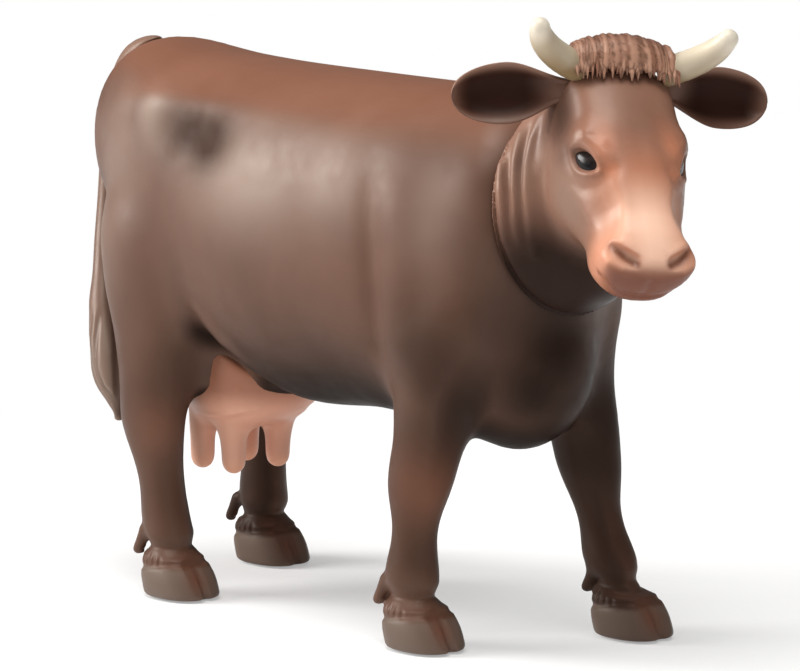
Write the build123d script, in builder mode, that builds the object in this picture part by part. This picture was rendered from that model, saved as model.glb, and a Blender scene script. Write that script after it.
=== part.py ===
"""Toy cow: two body shells with the legs moulded on, and a head that turns on the neck.

Millimetres. +X is the way the body faces, +Y its left side, +Z up, and the hooves stand on Z = 0.
The head is a moulding of its own. Its spigot and flange are caught between the two body shells,
so it turns about the neck, and a key on the spigot stops it at each end of the turn.
"""

import os
from math import cos, degrees, pi, radians, sin

from build123d import *

# Trunk
RUMP_X = -65.9
TRUNK_LENGTH = 102.0
BACK_HEIGHT = 90.8
BELLY_HEIGHT = 34.5
BARREL_WIDTH = 47.0
BRISKET_RADIUS = 12.5
BRISKET_DEPTH = 30.0
BRISKET_HEIGHT = 31.6
BRISKET_SETBACK = 10.0

# Neck seam and the swivel behind it
SEAM_RADIUS = 16.5
SEAM_HEIGHT = 71.0
SEAM_TILT = 11.0
SEAM_GAP = 0.2
SEAM_OVERRUN = 6.0
BULKHEAD = 4.0
SPIGOT_RADIUS = 8.0
SPIGOT_CLEARANCE = 0.1
FLANGE_RADIUS = 12.0
FLANGE_THICKNESS = 2.5
FLANGE_GAP = 0.2
KEY_WIDTH = 4.0
KEY_REACH = 2.4
KEY_DEPTH = 2.2
KEY_CLEARANCE = 0.2
HEAD_TURN = 25.0

# Shells
WALL = 2.2
POST_RADIUS = 3.4
PIN_RADIUS = 1.6
PIN_LENGTH = 4.0
FIT_CLEARANCE = 0.12

# Legs
HIP_SETBACK = 15.5
SHOULDER_SETBACK = 13.0
STANCE_WIDTH = 32.0
HOCK_HEIGHT = 27.0
KNEE_HEIGHT = 27.5
FETLOCK_HEIGHT = 9.5
HOOF_HEIGHT = 7.0
HOOF_LENGTH = 14.2
HOOF_WIDTH = 11.4
HOOF_FLARE = 0.5
CLEFT_WIDTH = 0.9
DEWCLAW_RADIUS = 1.5
RIGHT_HIND_SWING = 0.0
LEFT_HIND_SWING = -13.5
RIGHT_FORE_SWING = -2.0
LEFT_FORE_SWING = 17.5
HIND_SWING_HEIGHT = 62.0
FORE_SWING_HEIGHT = 42.0

# Head
HEAD_LENGTH = 36.0
HEAD_WIDTH = 21.6
HEAD_DEPTH = 21.0
HEAD_HEADING = 27.0
HEAD_PITCH = 52.0
HEAD_ROLL = 5.0
POLL_REACH = 18.0
POLL_SHIFT = -4.5
POLL_HEIGHT = 96.5
NECK_WIDTH = 27.0
NECK_DEPTH = 32.0
EYE_RADIUS = 2.5
EYE_DOME = 1.4
EYE_SHANK = 3.0
EYE_PLACE = 15.0
EYE_SPREAD = 16.6
EYE_DEPTH = 3.4
EYE_FORWARD = 0.55

# Horns, ears and tuft
HORN_RADIUS = 2.9
HORN_SPREAD = 17.4
HORN_SETBACK = 2.0
HORN_REACH = 7.0
HORN_RISE = 6.8
HORN_FORWARD = 7.0
HORN_PEG_RADIUS = 1.6
HORN_PEG_LENGTH = 3.0
TIP_ROUND = 0.98
EAR_LENGTH = 17.0
EAR_WIDTH = 9.0
EAR_THICKNESS = 1.8
EAR_SPREAD = 17.0
EAR_DROOP = 0.12
EAR_SWEEP = 0.16
EAR_HOLLOW = 0.9
EAR_HOLLOW_RADIUS = 6.3
EAR_ROOT = 3.0
EAR_PEG_RADIUS = 1.5
EAR_PEG_LENGTH = 4.0
TUFT_WIDTH = 19.4
TUFT_RADIUS = 5.2
TUFT_PIN_RADIUS = 1.2
TUFT_PIN_LENGTH = 8.0
TUFT_PIN_SPREAD = 4.4

# Udder and tail
UDDER_SETBACK = 29.0
UDDER_LENGTH = 27.0
UDDER_WIDTH = 22.0
UDDER_HEIGHT = 28.4
TEAT_RADIUS = 2.2
TEAT_HEIGHT = 19.7
TEAT_SPREAD = 10.2
TEAT_PITCH = 8.0
PLUG_RADIUS = 4.0
PLUG_TOP = 46.0
TEAT_SETBACK = 5.0
TAIL_RADIUS = 1.9
SWITCH_RADIUS = 2.9
TAIL_PEG_RADIUS = 2.0
TAIL_PEG_LENGTH = 9.0
TAIL_PEG_HEIGHT = 86.0

# Derived places
RING_POINTS = 16
SEAM_X = RUMP_X + TRUNK_LENGTH
HIP_X = RUMP_X + HIP_SETBACK
SHOULDER_X = SEAM_X - SHOULDER_SETBACK
UDDER_X = RUMP_X + UDDER_SETBACK
CAVITY_REAR = 0.07
POSTS = (
    (RUMP_X + 18.0, BACK_HEIGHT - 8.0),
    (RUMP_X + 56.0, BACK_HEIGHT - 7.5),
    (RUMP_X + 56.0, BELLY_HEIGHT + 7.5),
    (RUMP_X + 84.0, BELLY_HEIGHT + 9.5),
)
SEAM_NORMAL = Vector(cos(radians(SEAM_TILT)), 0, sin(radians(SEAM_TILT)))
SEAM = Plane(origin=(SEAM_X, 0, SEAM_HEIGHT), x_dir=(0, 1, 0), z_dir=SEAM_NORMAL)
POLL = Vector(SEAM_X + POLL_REACH, POLL_SHIFT, POLL_HEIGHT)
HEADING = Vector(cos(radians(HEAD_HEADING)), -sin(radians(HEAD_HEADING)), 0)
LEVEL_LEFT = Vector(sin(radians(HEAD_HEADING)), cos(radians(HEAD_HEADING)), 0)
HEAD_LEFT = LEVEL_LEFT * cos(radians(HEAD_ROLL)) - Vector(0, 0, sin(radians(HEAD_ROLL)))
HEAD_UP = HEADING.cross(HEAD_LEFT)
HEAD_DOWN = HEADING * cos(radians(HEAD_PITCH)) - HEAD_UP * sin(radians(HEAD_PITCH))
HEAD = Plane(origin=POLL, x_dir=HEAD_LEFT, z_dir=HEAD_DOWN)

# Trunk: share of the length, top above the back line, bottom above the belly line,
# share of the barrel's width, squareness
TRUNK_ROWS = (
    (0.000, -3.0, 35.5, 0.34, 2.0),
    (0.030, 1.6, 27.5, 0.57, 2.1),
    (0.080, 2.6, 21.5, 0.70, 2.3),
    (0.157, 1.6, 14.5, 0.79, 2.5),
    (0.255, 0.7, 8.5, 0.85, 2.5),
    (0.373, 0.2, 3.0, 0.94, 2.4),
    (0.510, 0.0, 0.0, 1.00, 2.3),
    (0.657, -0.2, 1.0, 1.00, 2.3),
    (0.784, -0.3, 0.3, 0.95, 2.3),
    (0.870, -0.8, 2.0, 0.88, 2.2),
    (0.935, -1.5, 9.5, 0.80, 2.1),
)
# Share of the trunk's length from which the sections lean towards the tilt of the neck seam
LEAN_START = 0.70
# Legs: height, X from the root of the leg, share of the half stance, half length, half width
HIND_ROWS = (
    (HOOF_HEIGHT, 9.0, 1.0, 5.6, 5.0),
    (FETLOCK_HEIGHT, 8.0, 1.0, 5.2, 4.7),
    (14.0, 7.2, 1.0, 4.2, 3.8),
    (20.5, 6.0, 1.0, 4.4, 3.9),
    (HOCK_HEIGHT, 4.4, 1.0, 6.2, 4.4),
    (34.0, 3.6, 0.98, 7.2, 5.3),
    (41.0, 3.0, 0.92, 8.9, 6.3),
    (50.0, 2.2, 0.84, 11.0, 7.6),
    (62.0, 1.8, 0.76, 11.6, 8.8),
    (74.0, 1.0, 0.62, 9.0, 7.0),
)
FORE_ROWS = (
    (HOOF_HEIGHT, -3.0, 1.0, 5.6, 5.2),
    (FETLOCK_HEIGHT, -4.2, 1.0, 5.1, 4.8),
    (15.0, -4.0, 1.0, 4.0, 3.9),
    (21.0, -3.6, 1.0, 4.2, 4.0),
    (KNEE_HEIGHT, -2.8, 1.0, 5.9, 5.3),
    (36.0, -1.0, 1.0, 6.5, 5.6),
    (45.0, -0.5, 0.95, 8.2, 6.3),
    (56.0, 0.0, 0.86, 10.3, 7.0),
    (68.0, 0.0, 0.72, 8.5, 6.0),
)
# Each leg: rows, root, side, how far the hoof swings forward, height the swing starts from
RIGHT_HIND = (HIND_ROWS, HIP_X, -1, RIGHT_HIND_SWING, HIND_SWING_HEIGHT)
LEFT_HIND = (HIND_ROWS, HIP_X, 1, LEFT_HIND_SWING, HIND_SWING_HEIGHT)
RIGHT_FORE = (FORE_ROWS, SHOULDER_X, -1, RIGHT_FORE_SWING, FORE_SWING_HEIGHT)
LEFT_FORE = (FORE_ROWS, SHOULDER_X, 1, LEFT_FORE_SWING, FORE_SWING_HEIGHT)
# Head: share of the length, share of the half width, top and bottom as shares of the depth
HEAD_ROWS = (
    (-0.08, 0.66, -0.10, -0.66),
    (0.06, 0.95, 0.00, -0.95),
    (0.27, 1.00, 0.04, -1.04),
    (0.44, 0.93, 0.05, -1.00),
    (0.60, 0.78, 0.03, -0.86),
    (0.74, 0.67, 0.01, -0.72),
    (0.85, 0.73, 0.04, -0.67),
    (0.93, 0.75, 0.03, -0.64),
    (1.00, 0.69, -0.02, -0.61),
    (1.04, 0.60, -0.07, -0.57),
)
# Udder: rise above its bottom, distance ahead of the plug, share of the length, share of the width
UDDER_ROWS = (
    (0.0, -4.0, 0.42, 0.45),
    (2.0, -3.4, 0.74, 0.76),
    (6.0, -1.8, 0.96, 0.96),
    (11.0, 0.0, 1.00, 1.00),
    (18.0, 1.0, 0.92, 0.90),
)
# Tail: distance behind the rump, distance to the right, height, radius
TAIL_ROWS = (
    (-5.0, 0.0, 87.5, 3.2),
    (0.0, 0.0, 90.0, 3.1),
    (3.6, 0.6, 86.0, 2.7),
    (5.4, 2.2, 77.0, 2.2),
    (4.6, 4.8, 66.0, TAIL_RADIUS),
    (1.6, 8.6, 55.5, TAIL_RADIUS),
    (-1.6, 11.6, 47.5, SWITCH_RADIUS - 0.2),
    (-5.4, 14.0, 39.5, SWITCH_RADIUS),
    (-10.2, 15.6, 29.5, 1.0),
)


def slope(rows, index, column):
    """The slope of one column at a row, level at a peak so that nothing overshoots."""
    rises = []
    for first, second in ((index - 1, index), (index, index + 1)):
        if 0 <= first and second < len(rows):
            rise = rows[second][column] - rows[first][column]
            rises.append(rise / (rows[second][0] - rows[first][0]))
    if min(rises) <= 0 <= max(rises):
        return 0.0
    return len(rises) / sum(1 / rise for rise in rises)


def between(rows, place):
    """The row at a place among the listed rows, on a smooth curve through them."""
    upper = 1
    while upper < len(rows) - 1 and rows[upper][0] < place:
        upper += 1
    lower = upper - 1
    span = rows[upper][0] - rows[lower][0]
    t = (place - rows[lower][0]) / span
    values = []
    for column in range(1, len(rows[0])):
        start = rows[lower][column] * (1 + 2 * t) * (1 - t) ** 2
        start += span * slope(rows, lower, column) * t * (1 - t) ** 2
        end = rows[upper][column] * (3 - 2 * t) * t**2
        end += span * slope(rows, upper, column) * (t - 1) * t**2
        values.append(start + end)
    return values


def even_rows(rows, count):
    """Evenly spaced rows over the whole list."""
    first, last = rows[0][0], rows[-1][0]
    places = [first + (last - first) * step / (count - 1) for step in range(count)]
    return [(place, *between(rows, place)) for place in places]


def ring(half_width, half_height, squareness=2.0, centre=(0, 0)):
    """Points round a superellipse from its bottom: squareness 2 is an ellipse, more is boxier."""
    points = []
    for step in range(RING_POINTS):
        turn = 2 * pi * step / RING_POINTS - pi / 2
        c, s = cos(turn), sin(turn)
        reach = (abs(c) ** squareness + abs(s) ** squareness) ** (-1 / squareness)
        points.append((centre[0] + half_width * reach * c, centre[1] + half_height * reach * s))
    return points


def trunk_body(grow=0.0, rear=0.0, front=0.0):
    """The trunk from the rump to a cut along the neck seam, every section grown by grow."""
    rows = ((rear, *between(TRUNK_ROWS, rear)), *(row for row in TRUNK_ROWS if row[0] > rear + 0.01))
    with BuildPart() as trunk:
        for share, top, bottom, width, square in even_rows(rows, 17):
            high = BACK_HEIGHT + top + grow
            low = BELLY_HEIGHT + bottom - grow
            station = (RUMP_X + share * TRUNK_LENGTH, 0, (high + low) / 2)
            lean = radians(SEAM_TILT) * max(0, share - LEAN_START) / (1 - LEAN_START)
            with BuildSketch(Plane(station, x_dir=(0, 1, 0), z_dir=(cos(lean), 0, sin(lean)))):
                with BuildLine():
                    half_width = width * BARREL_WIDTH / 2 + grow
                    half_height = (high - low) / 2 / cos(lean)
                    Spline(*ring(half_width, half_height, square), periodic=True)
                make_face()
        for overrun in (-0.3 * SEAM_OVERRUN, SEAM_OVERRUN):
            with BuildSketch(SEAM.offset(overrun)):
                with BuildLine():
                    radius = SEAM_RADIUS - 0.1 * overrun + grow
                    Spline(*ring(radius, radius), periodic=True)
                make_face()
        loft()
        split(bisect_by=SEAM.offset(front), keep=Keep.BOTTOM)
    return trunk.part


def spheroid(plane, radius, half_length):
    """A body of revolution about the plane's X axis, an ellipse in profile."""
    with BuildPart() as body:
        with BuildSketch(plane):
            Ellipse(half_length, radius)
            Rectangle(2 * half_length, radius, align=(Align.CENTER, Align.MAX), mode=Mode.SUBTRACT)
        revolve(axis=Axis(plane.origin, plane.x_dir))
    return body.part


def brisket_body():
    """The rounded brisket between the front legs."""
    half = BRISKET_DEPTH / 2
    centre = (SEAM_X - BRISKET_SETBACK, 0, BRISKET_HEIGHT + half)
    return spheroid(Plane(centre, x_dir=(0, 0, 1), z_dir=(0, 1, 0)), BRISKET_RADIUS, half)


def leg_body(rows, root, side, swing, swing_height, grow=0.0):
    """One leg, with its cloven hoof and its two dewclaws when it isn't grown."""
    with BuildPart() as leg:
        for height, ahead, share, half_length, half_width in even_rows(rows, 14):
            swung = swing * max(0.0, 1 - height / swing_height)
            with BuildSketch(Plane.XY.offset(height)):
                with Locations((root + ahead + swung, side * share * STANCE_WIDTH / 2)):
                    Ellipse(half_length + grow, half_width + grow)
        loft()
        if not grow:
            top_x = root + rows[0][1] + swing * (1 - HOOF_HEIGHT / swing_height)
            top_length, top_width = rows[0][3] + HOOF_FLARE, rows[0][4] + HOOF_FLARE
            toe = top_x + HOOF_LENGTH / 2 + 2.5
            side_y = side * STANCE_WIDTH / 2
            with BuildSketch(Plane.XY):
                with BuildLine():
                    centre = (toe - HOOF_LENGTH / 2, side_y)
                    Spline(*ring(HOOF_LENGTH / 2, HOOF_WIDTH / 2, 2.4, centre), periodic=True)
                make_face()
            with BuildSketch(Plane.XY.offset(HOOF_HEIGHT + HOOF_FLARE)):
                with BuildLine():
                    Spline(*ring(top_length, top_width, 2.4, (top_x, side_y)), periodic=True)
                make_face()
            loft()
            with Locations((toe, side_y, 0)):
                Box(HOOF_LENGTH, CLEFT_WIDTH, 1.7 * HOOF_HEIGHT, mode=Mode.SUBTRACT)
            heel = top_x - top_length
            for offset in (-1, 1):
                with Locations((heel, side_y + offset * 1.4 * DEWCLAW_RADIUS, HOOF_HEIGHT + 0.5)):
                    Sphere(DEWCLAW_RADIUS)
    return leg.part


def swept_body(points, radii, grow=0.0):
    """A round body along a curve through the points, its radius following the list."""
    stations = [(step, *point, radius) for step, (point, radius) in enumerate(zip(points, radii))]
    count = 2 * len(points)
    with BuildPart() as body:
        path = Spline(*points)
        for step, (*_, radius) in enumerate(even_rows(stations, count)):
            share = step / (count - 1)
            with BuildSketch(Plane(path @ share, z_dir=path % share)):
                Circle(radius + grow)
        loft()
        with Locations(points[-1]):
            Sphere(TIP_ROUND * radii[-1] + grow)
    return body.part


def head_point(left, down, out):
    """A place in the head's own directions, from the middle of the hairline."""
    return POLL + HEAD.x_dir * left + HEAD.z_dir * down + HEAD.y_dir * out


def head_body(grow=0.0):
    """The head and the neck ahead of the seam."""
    neck_middle = (SEAM.origin + SEAM_NORMAL * 7.5 + Vector(0, POLL_SHIFT * 0.2, 4.5))
    with BuildPart() as body:
        for share, width, top, bottom in even_rows(HEAD_ROWS, 20):
            with BuildSketch(HEAD.offset(share * HEAD_LENGTH)):
                with BuildLine():
                    half_depth = (top - bottom) * HEAD_DEPTH / 2 + grow
                    centre = (0, (top + bottom) * HEAD_DEPTH / 2)
                    Spline(*ring(width * HEAD_WIDTH / 2 + grow, half_depth, 2.6, centre), periodic=True)
                make_face()
        loft()
        with BuildSketch(SEAM.offset(SEAM_GAP)):
            Circle(SEAM_RADIUS + grow)
        with BuildSketch(Plane(neck_middle, x_dir=(0, 1, 0), z_dir=(0.87, -0.1, 0.48))):
            Ellipse(NECK_WIDTH / 2 + grow, NECK_DEPTH / 2 + grow)
        neck_end = head_point(0, 6.0, -0.52 * HEAD_DEPTH)
        with BuildSketch(Plane(neck_end, x_dir=HEAD.x_dir, z_dir=(0.8, -0.35, 0.45))):
            Ellipse(0.45 * HEAD_WIDTH + grow, 0.55 * HEAD_DEPTH + grow)
        loft()
        split(bisect_by=SEAM.offset(SEAM_GAP), keep=Keep.TOP)
    return body.part


def horn_body(side, grow=0.0):
    """One horn, rooted in the head and curving out, forward and up."""
    base = POLL - HEADING * HORN_SETBACK + HEAD_LEFT * side * HORN_SPREAD / 2
    out = HEAD_LEFT * side * HORN_REACH
    rise = Vector(0, 0, HORN_RISE)
    points = [
        base - HEAD_LEFT * side * 0.6 * HORN_PEG_LENGTH - Vector(0, 0, 0.8 * HORN_PEG_LENGTH),
        base,
        base + out * 0.52 + HEADING * 0.4 * HORN_FORWARD + rise * 0.4,
        base + out + HEADING * HORN_FORWARD + rise,
    ]
    radii = (HORN_PEG_RADIUS, HORN_RADIUS, 0.75 * HORN_RADIUS, 0.45 * HORN_RADIUS)
    return swept_body(points, radii, grow)


def ear_plane(side):
    """The plane an ear lies in: X outward along it, Z the way its hollow faces."""
    root = head_point(side * EAR_SPREAD / 2, 0.5, -6.4)
    out = HEAD_LEFT * side - HEADING * EAR_SWEEP - HEAD_UP * EAR_DROOP
    facing = HEADING + HEAD_LEFT * side * EAR_SWEEP
    return Plane(origin=root, x_dir=out, z_dir=facing)


def ear_peg(side, grow=0.0):
    """The peg that holds an ear in the side of the head."""
    plane = ear_plane(side)
    with BuildPart() as peg:
        with BuildSketch(Plane(origin=plane.origin + plane.x_dir * EAR_ROOT, z_dir=-plane.x_dir)):
            Circle(EAR_PEG_RADIUS + grow)
        extrude(amount=EAR_ROOT + EAR_PEG_LENGTH + grow)
    return peg.part


def ear_body(side):
    """One ear: a leaf hollowed on the side that faces forward."""
    plane = ear_plane(side)
    half = EAR_WIDTH / 2
    with BuildPart() as ear:
        with BuildSketch(plane.offset(-EAR_THICKNESS / 2)):
            with BuildLine():
                Spline(
                    (0, 0.35 * half),
                    (0.35 * EAR_LENGTH, 0.95 * half),
                    (0.65 * EAR_LENGTH, 0.85 * half),
                    (EAR_LENGTH, -0.1 * half),
                    (0.65 * EAR_LENGTH, -0.95 * half),
                    (0.35 * EAR_LENGTH, -0.85 * half),
                    (0, -0.35 * half),
                )
                Line((0, -0.35 * half), (0, 0.35 * half))
            make_face()
        extrude(amount=EAR_THICKNESS)
        lift = EAR_THICKNESS / 2 + EAR_HOLLOW_RADIUS - EAR_HOLLOW
        bowl = plane.origin + plane.x_dir * 0.54 * EAR_LENGTH + plane.z_dir * lift
        bowl_plane = Plane(origin=bowl, x_dir=plane.x_dir, z_dir=plane.z_dir)
        add(spheroid(bowl_plane, EAR_HOLLOW_RADIUS, 0.8 * EAR_LENGTH), mode=Mode.SUBTRACT)
        add(head_outline_grown, mode=Mode.SUBTRACT)
        add(ear_peg(side))
    return ear.part


def tuft_pins(grow=0.0):
    """The two pins under the hair tuft."""
    with BuildPart() as pins:
        for side in (-1, 1):
            top = POLL - HEADING * 2.0 + HEAD_LEFT * side * TUFT_PIN_SPREAD / 2
            with BuildSketch(Plane(origin=top, z_dir=(0, 0, -1))):
                Circle(TUFT_PIN_RADIUS + grow)
        extrude(amount=TUFT_PIN_LENGTH + grow)
    return pins.part


def eye_body(side, grow=0.0):
    """One eye: a domed stud, its shank set in the head. The grown one is its plain socket."""
    facing = (HEAD_LEFT * side + HEAD.y_dir * EYE_FORWARD).normalized()
    place = head_point(side * EYE_SPREAD / 2, EYE_PLACE, -EYE_DEPTH)
    with BuildPart() as eye:
        with BuildSketch(Plane(place - facing * (EYE_SHANK + grow), z_dir=facing)):
            Circle(EYE_RADIUS + grow)
        extrude(amount=EYE_SHANK + EYE_DOME + grow)
        if not grow:
            fillet(eye.faces().sort_by(Axis(place, facing))[-1].edges(), EYE_DOME)
    return eye.part


def spigot_body():
    """The spigot the head turns on, with the flange behind the bulkhead."""
    with BuildPart() as spigot:
        with BuildSketch(SEAM.offset(SEAM_GAP + 1.0)):
            Circle(SPIGOT_RADIUS)
        extrude(amount=-(SEAM_GAP + 1.0 + BULKHEAD + FLANGE_GAP + FLANGE_THICKNESS))
        with BuildSketch(SEAM.offset(-BULKHEAD - FLANGE_GAP)):
            Circle(FLANGE_RADIUS)
        extrude(amount=-FLANGE_THICKNESS)
    return spigot.part


def plug_body(grow=0.0):
    """The plug that holds the udder in the belly."""
    with BuildPart() as plug:
        with BuildSketch(Plane((UDDER_X, 0, UDDER_HEIGHT + 4.0))):
            Ellipse(1.5 * PLUG_RADIUS + grow, PLUG_RADIUS + grow)
        extrude(amount=PLUG_TOP - UDDER_HEIGHT - 4.0 + grow)
    return plug.part


def tail_peg(grow=0.0):
    """The peg that holds the tail in the rump."""
    with BuildPart() as peg:
        with BuildSketch(Plane((RUMP_X - 1.0, 0, TAIL_PEG_HEIGHT), z_dir=(1, 0, 0))):
            Circle(TAIL_PEG_RADIUS + grow)
        extrude(amount=1.0 + TAIL_PEG_LENGTH + grow)
    return peg.part


def posts_body(radius, reach):
    """Round posts across the seam between the shells, out to the same reach on both sides."""
    with BuildPart() as posts:
        for x, z in POSTS:
            with BuildSketch(Plane((x, -reach, z), x_dir=(1, 0, 0), z_dir=(0, 1, 0))):
                Circle(radius)
        extrude(amount=2 * reach)
    return posts.part


# Outlines, and the same grown by the fit clearance to trim the pieces that sit against them
with BuildPart() as outline:
    add(trunk_body())
    add(brisket_body())
    for leg in (RIGHT_HIND, LEFT_HIND, RIGHT_FORE, LEFT_FORE):
        add(leg_body(*leg))
with BuildPart() as rear_grown:
    add(trunk_body(FIT_CLEARANCE))
    for leg in (RIGHT_HIND, LEFT_HIND):
        add(leg_body(*leg, FIT_CLEARANCE))
head_outline = head_body()
head_outline_grown = head_body(FIT_CLEARANCE)

# Body: hollow, with a bulkhead behind the neck seam and posts across the shell seam
with BuildPart() as posts:
    add(posts_body(POST_RADIUS, BARREL_WIDTH / 2))
    add(trunk_body(-WALL / 2), mode=Mode.INTERSECT)
with BuildPart() as hull:
    add(outline.part)
    add(trunk_body(-WALL, CAVITY_REAR, -BULKHEAD), mode=Mode.SUBTRACT)
    add(posts.part)
    with BuildSketch(SEAM.offset(1.0)):
        Circle(SPIGOT_RADIUS + SPIGOT_CLEARANCE)
    extrude(amount=-(1.0 + 2 * BULKHEAD), mode=Mode.SUBTRACT)
    with BuildSketch(SEAM.offset(-BULKHEAD - 1.0)):
        with BuildLine():
            reach = SPIGOT_RADIUS + KEY_REACH + KEY_CLEARANCE
            sweep_angle = HEAD_TURN + degrees((KEY_WIDTH / 2 + KEY_CLEARANCE) / SPIGOT_RADIUS)
            arc = CenterArc((0, 0), reach, -90 - sweep_angle, 2 * sweep_angle)
            Line((0, 0), arc @ 0)
            Line(arc @ 1, (0, 0))
        make_face()
    extrude(amount=1.0 + KEY_DEPTH + KEY_CLEARANCE, mode=Mode.SUBTRACT)
    add(plug_body(FIT_CLEARANCE), mode=Mode.SUBTRACT)
    add(tail_peg(FIT_CLEARANCE), mode=Mode.SUBTRACT)

with BuildPart() as body_right_shell:
    add(hull.part)
    split(bisect_by=Plane.XZ, keep=Keep.TOP)
    add(posts_body(PIN_RADIUS + FIT_CLEARANCE, PIN_LENGTH + FIT_CLEARANCE), mode=Mode.SUBTRACT)
with BuildPart() as body_left_shell:
    add(hull.part)
    split(bisect_by=Plane.XZ, keep=Keep.BOTTOM)
    add(posts_body(PIN_RADIUS, PIN_LENGTH))

# Udder: a bag between the thighs with four teats
with BuildPart() as udder:
    for rise, ahead, length, width in UDDER_ROWS:
        with BuildSketch(Plane((UDDER_X + ahead, 0, UDDER_HEIGHT + rise))):
            Ellipse(length * UDDER_LENGTH / 2, width * UDDER_WIDTH / 2)
    loft()
    for along in (-1, 1):
        for side in (-1, 1):
            spot = (UDDER_X - TEAT_SETBACK + along * TEAT_PITCH / 2, side * TEAT_SPREAD / 2)
            with Locations((*spot, TEAT_HEIGHT + TEAT_RADIUS)):
                Sphere(TEAT_RADIUS)
                length = UDDER_HEIGHT - TEAT_HEIGHT + 1.0
                Cylinder(TEAT_RADIUS, length, align=(Align.CENTER, Align.CENTER, Align.MIN))
    add(rear_grown.part, mode=Mode.SUBTRACT)
    add(plug_body())

# Tail: a cord swelling into the switch
with BuildPart() as tail:
    points = [(RUMP_X - behind, -right, height) for behind, right, height, _ in TAIL_ROWS]
    add(swept_body(points, [row[3] for row in TAIL_ROWS]))
    add(rear_grown.part, mode=Mode.SUBTRACT)
    add(tail_peg())

# Head: one moulding with the neck, the spigot, its flange and the stop key
with BuildPart() as head:
    add(head_outline)
    add(spigot_body())
    with BuildSketch(SEAM.offset(-BULKHEAD - FLANGE_GAP)):
        with Locations((0, -SPIGOT_RADIUS - KEY_REACH / 2 + 0.5)):
            Rectangle(KEY_WIDTH, KEY_REACH + 1.0)
    extrude(amount=FLANGE_GAP + KEY_DEPTH)
    for side in (-1, 1):
        add(horn_body(side, FIT_CLEARANCE), mode=Mode.SUBTRACT)
        add(ear_peg(side, FIT_CLEARANCE), mode=Mode.SUBTRACT)
        add(eye_body(side, FIT_CLEARANCE), mode=Mode.SUBTRACT)
    add(tuft_pins(FIT_CLEARANCE), mode=Mode.SUBTRACT)

# Hair tuft between the horns
with BuildPart() as poll_tuft:
    crown = POLL - HEADING * 2.5 + Vector(0, 0, 0.6)
    add(spheroid(Plane(crown, x_dir=HEAD_LEFT, z_dir=HEADING), TUFT_RADIUS, TUFT_WIDTH / 2))
    add(head_outline_grown, mode=Mode.SUBTRACT)
    for side in (-1, 1):
        add(horn_body(side, FIT_CLEARANCE), mode=Mode.SUBTRACT)
    add(tuft_pins())

horn_right = horn_body(-1)
horn_left = horn_body(1)
ear_right = ear_body(-1)
ear_left = ear_body(1)
eye_right = eye_body(-1)
eye_left = eye_body(1)

os.makedirs("parts", exist_ok=True)
NODES = {
    "body_right_shell": body_right_shell.part,
    "body_left_shell": body_left_shell.part,
    "udder": udder.part,
    "tail": tail.part,
    "head": head.part,
    "poll_tuft": poll_tuft.part,
    "horn_right": horn_right,
    "horn_left": horn_left,
    "ear_right": ear_right,
    "ear_left": ear_left,
    "eye_right": eye_right,
    "eye_left": eye_left,
}
for name, solid in NODES.items():
    solid.label = name
    export_step(solid, f"parts/{name}.step")
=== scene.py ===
import math

import bmesh
import bpy
import numpy as np
import openvdb
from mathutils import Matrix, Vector


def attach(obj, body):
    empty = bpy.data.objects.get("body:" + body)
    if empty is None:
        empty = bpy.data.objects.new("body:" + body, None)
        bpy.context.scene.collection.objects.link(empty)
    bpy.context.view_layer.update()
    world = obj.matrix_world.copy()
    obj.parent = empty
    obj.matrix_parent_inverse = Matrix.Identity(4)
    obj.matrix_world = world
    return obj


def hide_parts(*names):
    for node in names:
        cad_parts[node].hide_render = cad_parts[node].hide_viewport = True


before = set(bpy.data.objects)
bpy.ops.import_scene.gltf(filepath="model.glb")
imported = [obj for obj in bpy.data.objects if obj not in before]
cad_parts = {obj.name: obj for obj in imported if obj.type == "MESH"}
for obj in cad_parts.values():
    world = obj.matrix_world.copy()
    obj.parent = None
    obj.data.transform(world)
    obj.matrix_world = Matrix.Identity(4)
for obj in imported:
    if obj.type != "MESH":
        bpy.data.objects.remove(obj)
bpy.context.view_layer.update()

# Everything is shaped in millimetres and written out in metres
MM = 0.001

# Fields: how deep distances go, spare cells at the edge, where a form has faded, first step, thinning
BAND, MARGIN = 6.0, 6
FADE = 2.4
COARSE, THIN = 0.5, 0.03
FAR, TINY = 1e9, 1e-9
SETTLE_ROUNDS = 5

# Neck seam, and the room behind it for the swivel
SEAM_MIDDLE = np.array((36.1, 0.0, 71.0))
SEAM_TILT = math.radians(11.0)
SEAM_NORMAL = np.array((math.cos(SEAM_TILT), 0.0, math.sin(SEAM_TILT)))
HEAD_SIDE_GAP = 0.2
OVERLAP = 0.3
SPIGOT_HOLE = 8.5
FLANGE_POCKET = 12.8
BULKHEAD, HOLE_OVERLAP = 3.7, 1.0
POCKET_DEPTH = 7.8
SLOT_REACH, SLOT_TURN = 11.3, math.radians(48.0)
SLOT_START, SLOT_END = 1.2, 5.8

# Head directions: left, down the face, and out of the face, from the middle of the hairline
POLL = np.array((54.1, -4.5, 96.5))
TURN, PITCH, ROLL = math.radians(27.0), math.radians(52.0), math.radians(5.0)
HEADING = np.array((math.cos(TURN), -math.sin(TURN), 0.0))
LEVEL_LEFT = np.array((math.sin(TURN), math.cos(TURN), 0.0))
HEAD_LEFT = LEVEL_LEFT * math.cos(ROLL) - np.array((0.0, 0.0, math.sin(ROLL)))
HEAD_UP = np.cross(HEADING, HEAD_LEFT)
HEAD_DOWN = HEADING * math.cos(PITCH) - HEAD_UP * math.sin(PITCH)
HEAD_OUT = np.cross(HEAD_DOWN, HEAD_LEFT)
HEAD_AXES = np.array((HEAD_LEFT, HEAD_DOWN, HEAD_OUT))


def to_head(points):
    """Places in the head's own directions."""
    return (np.asarray(points, float) - POLL) @ HEAD_AXES.T


def from_head(points):
    """Places in the row frame from the head's own directions."""
    return np.asarray(points, float) @ HEAD_AXES + POLL


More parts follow.
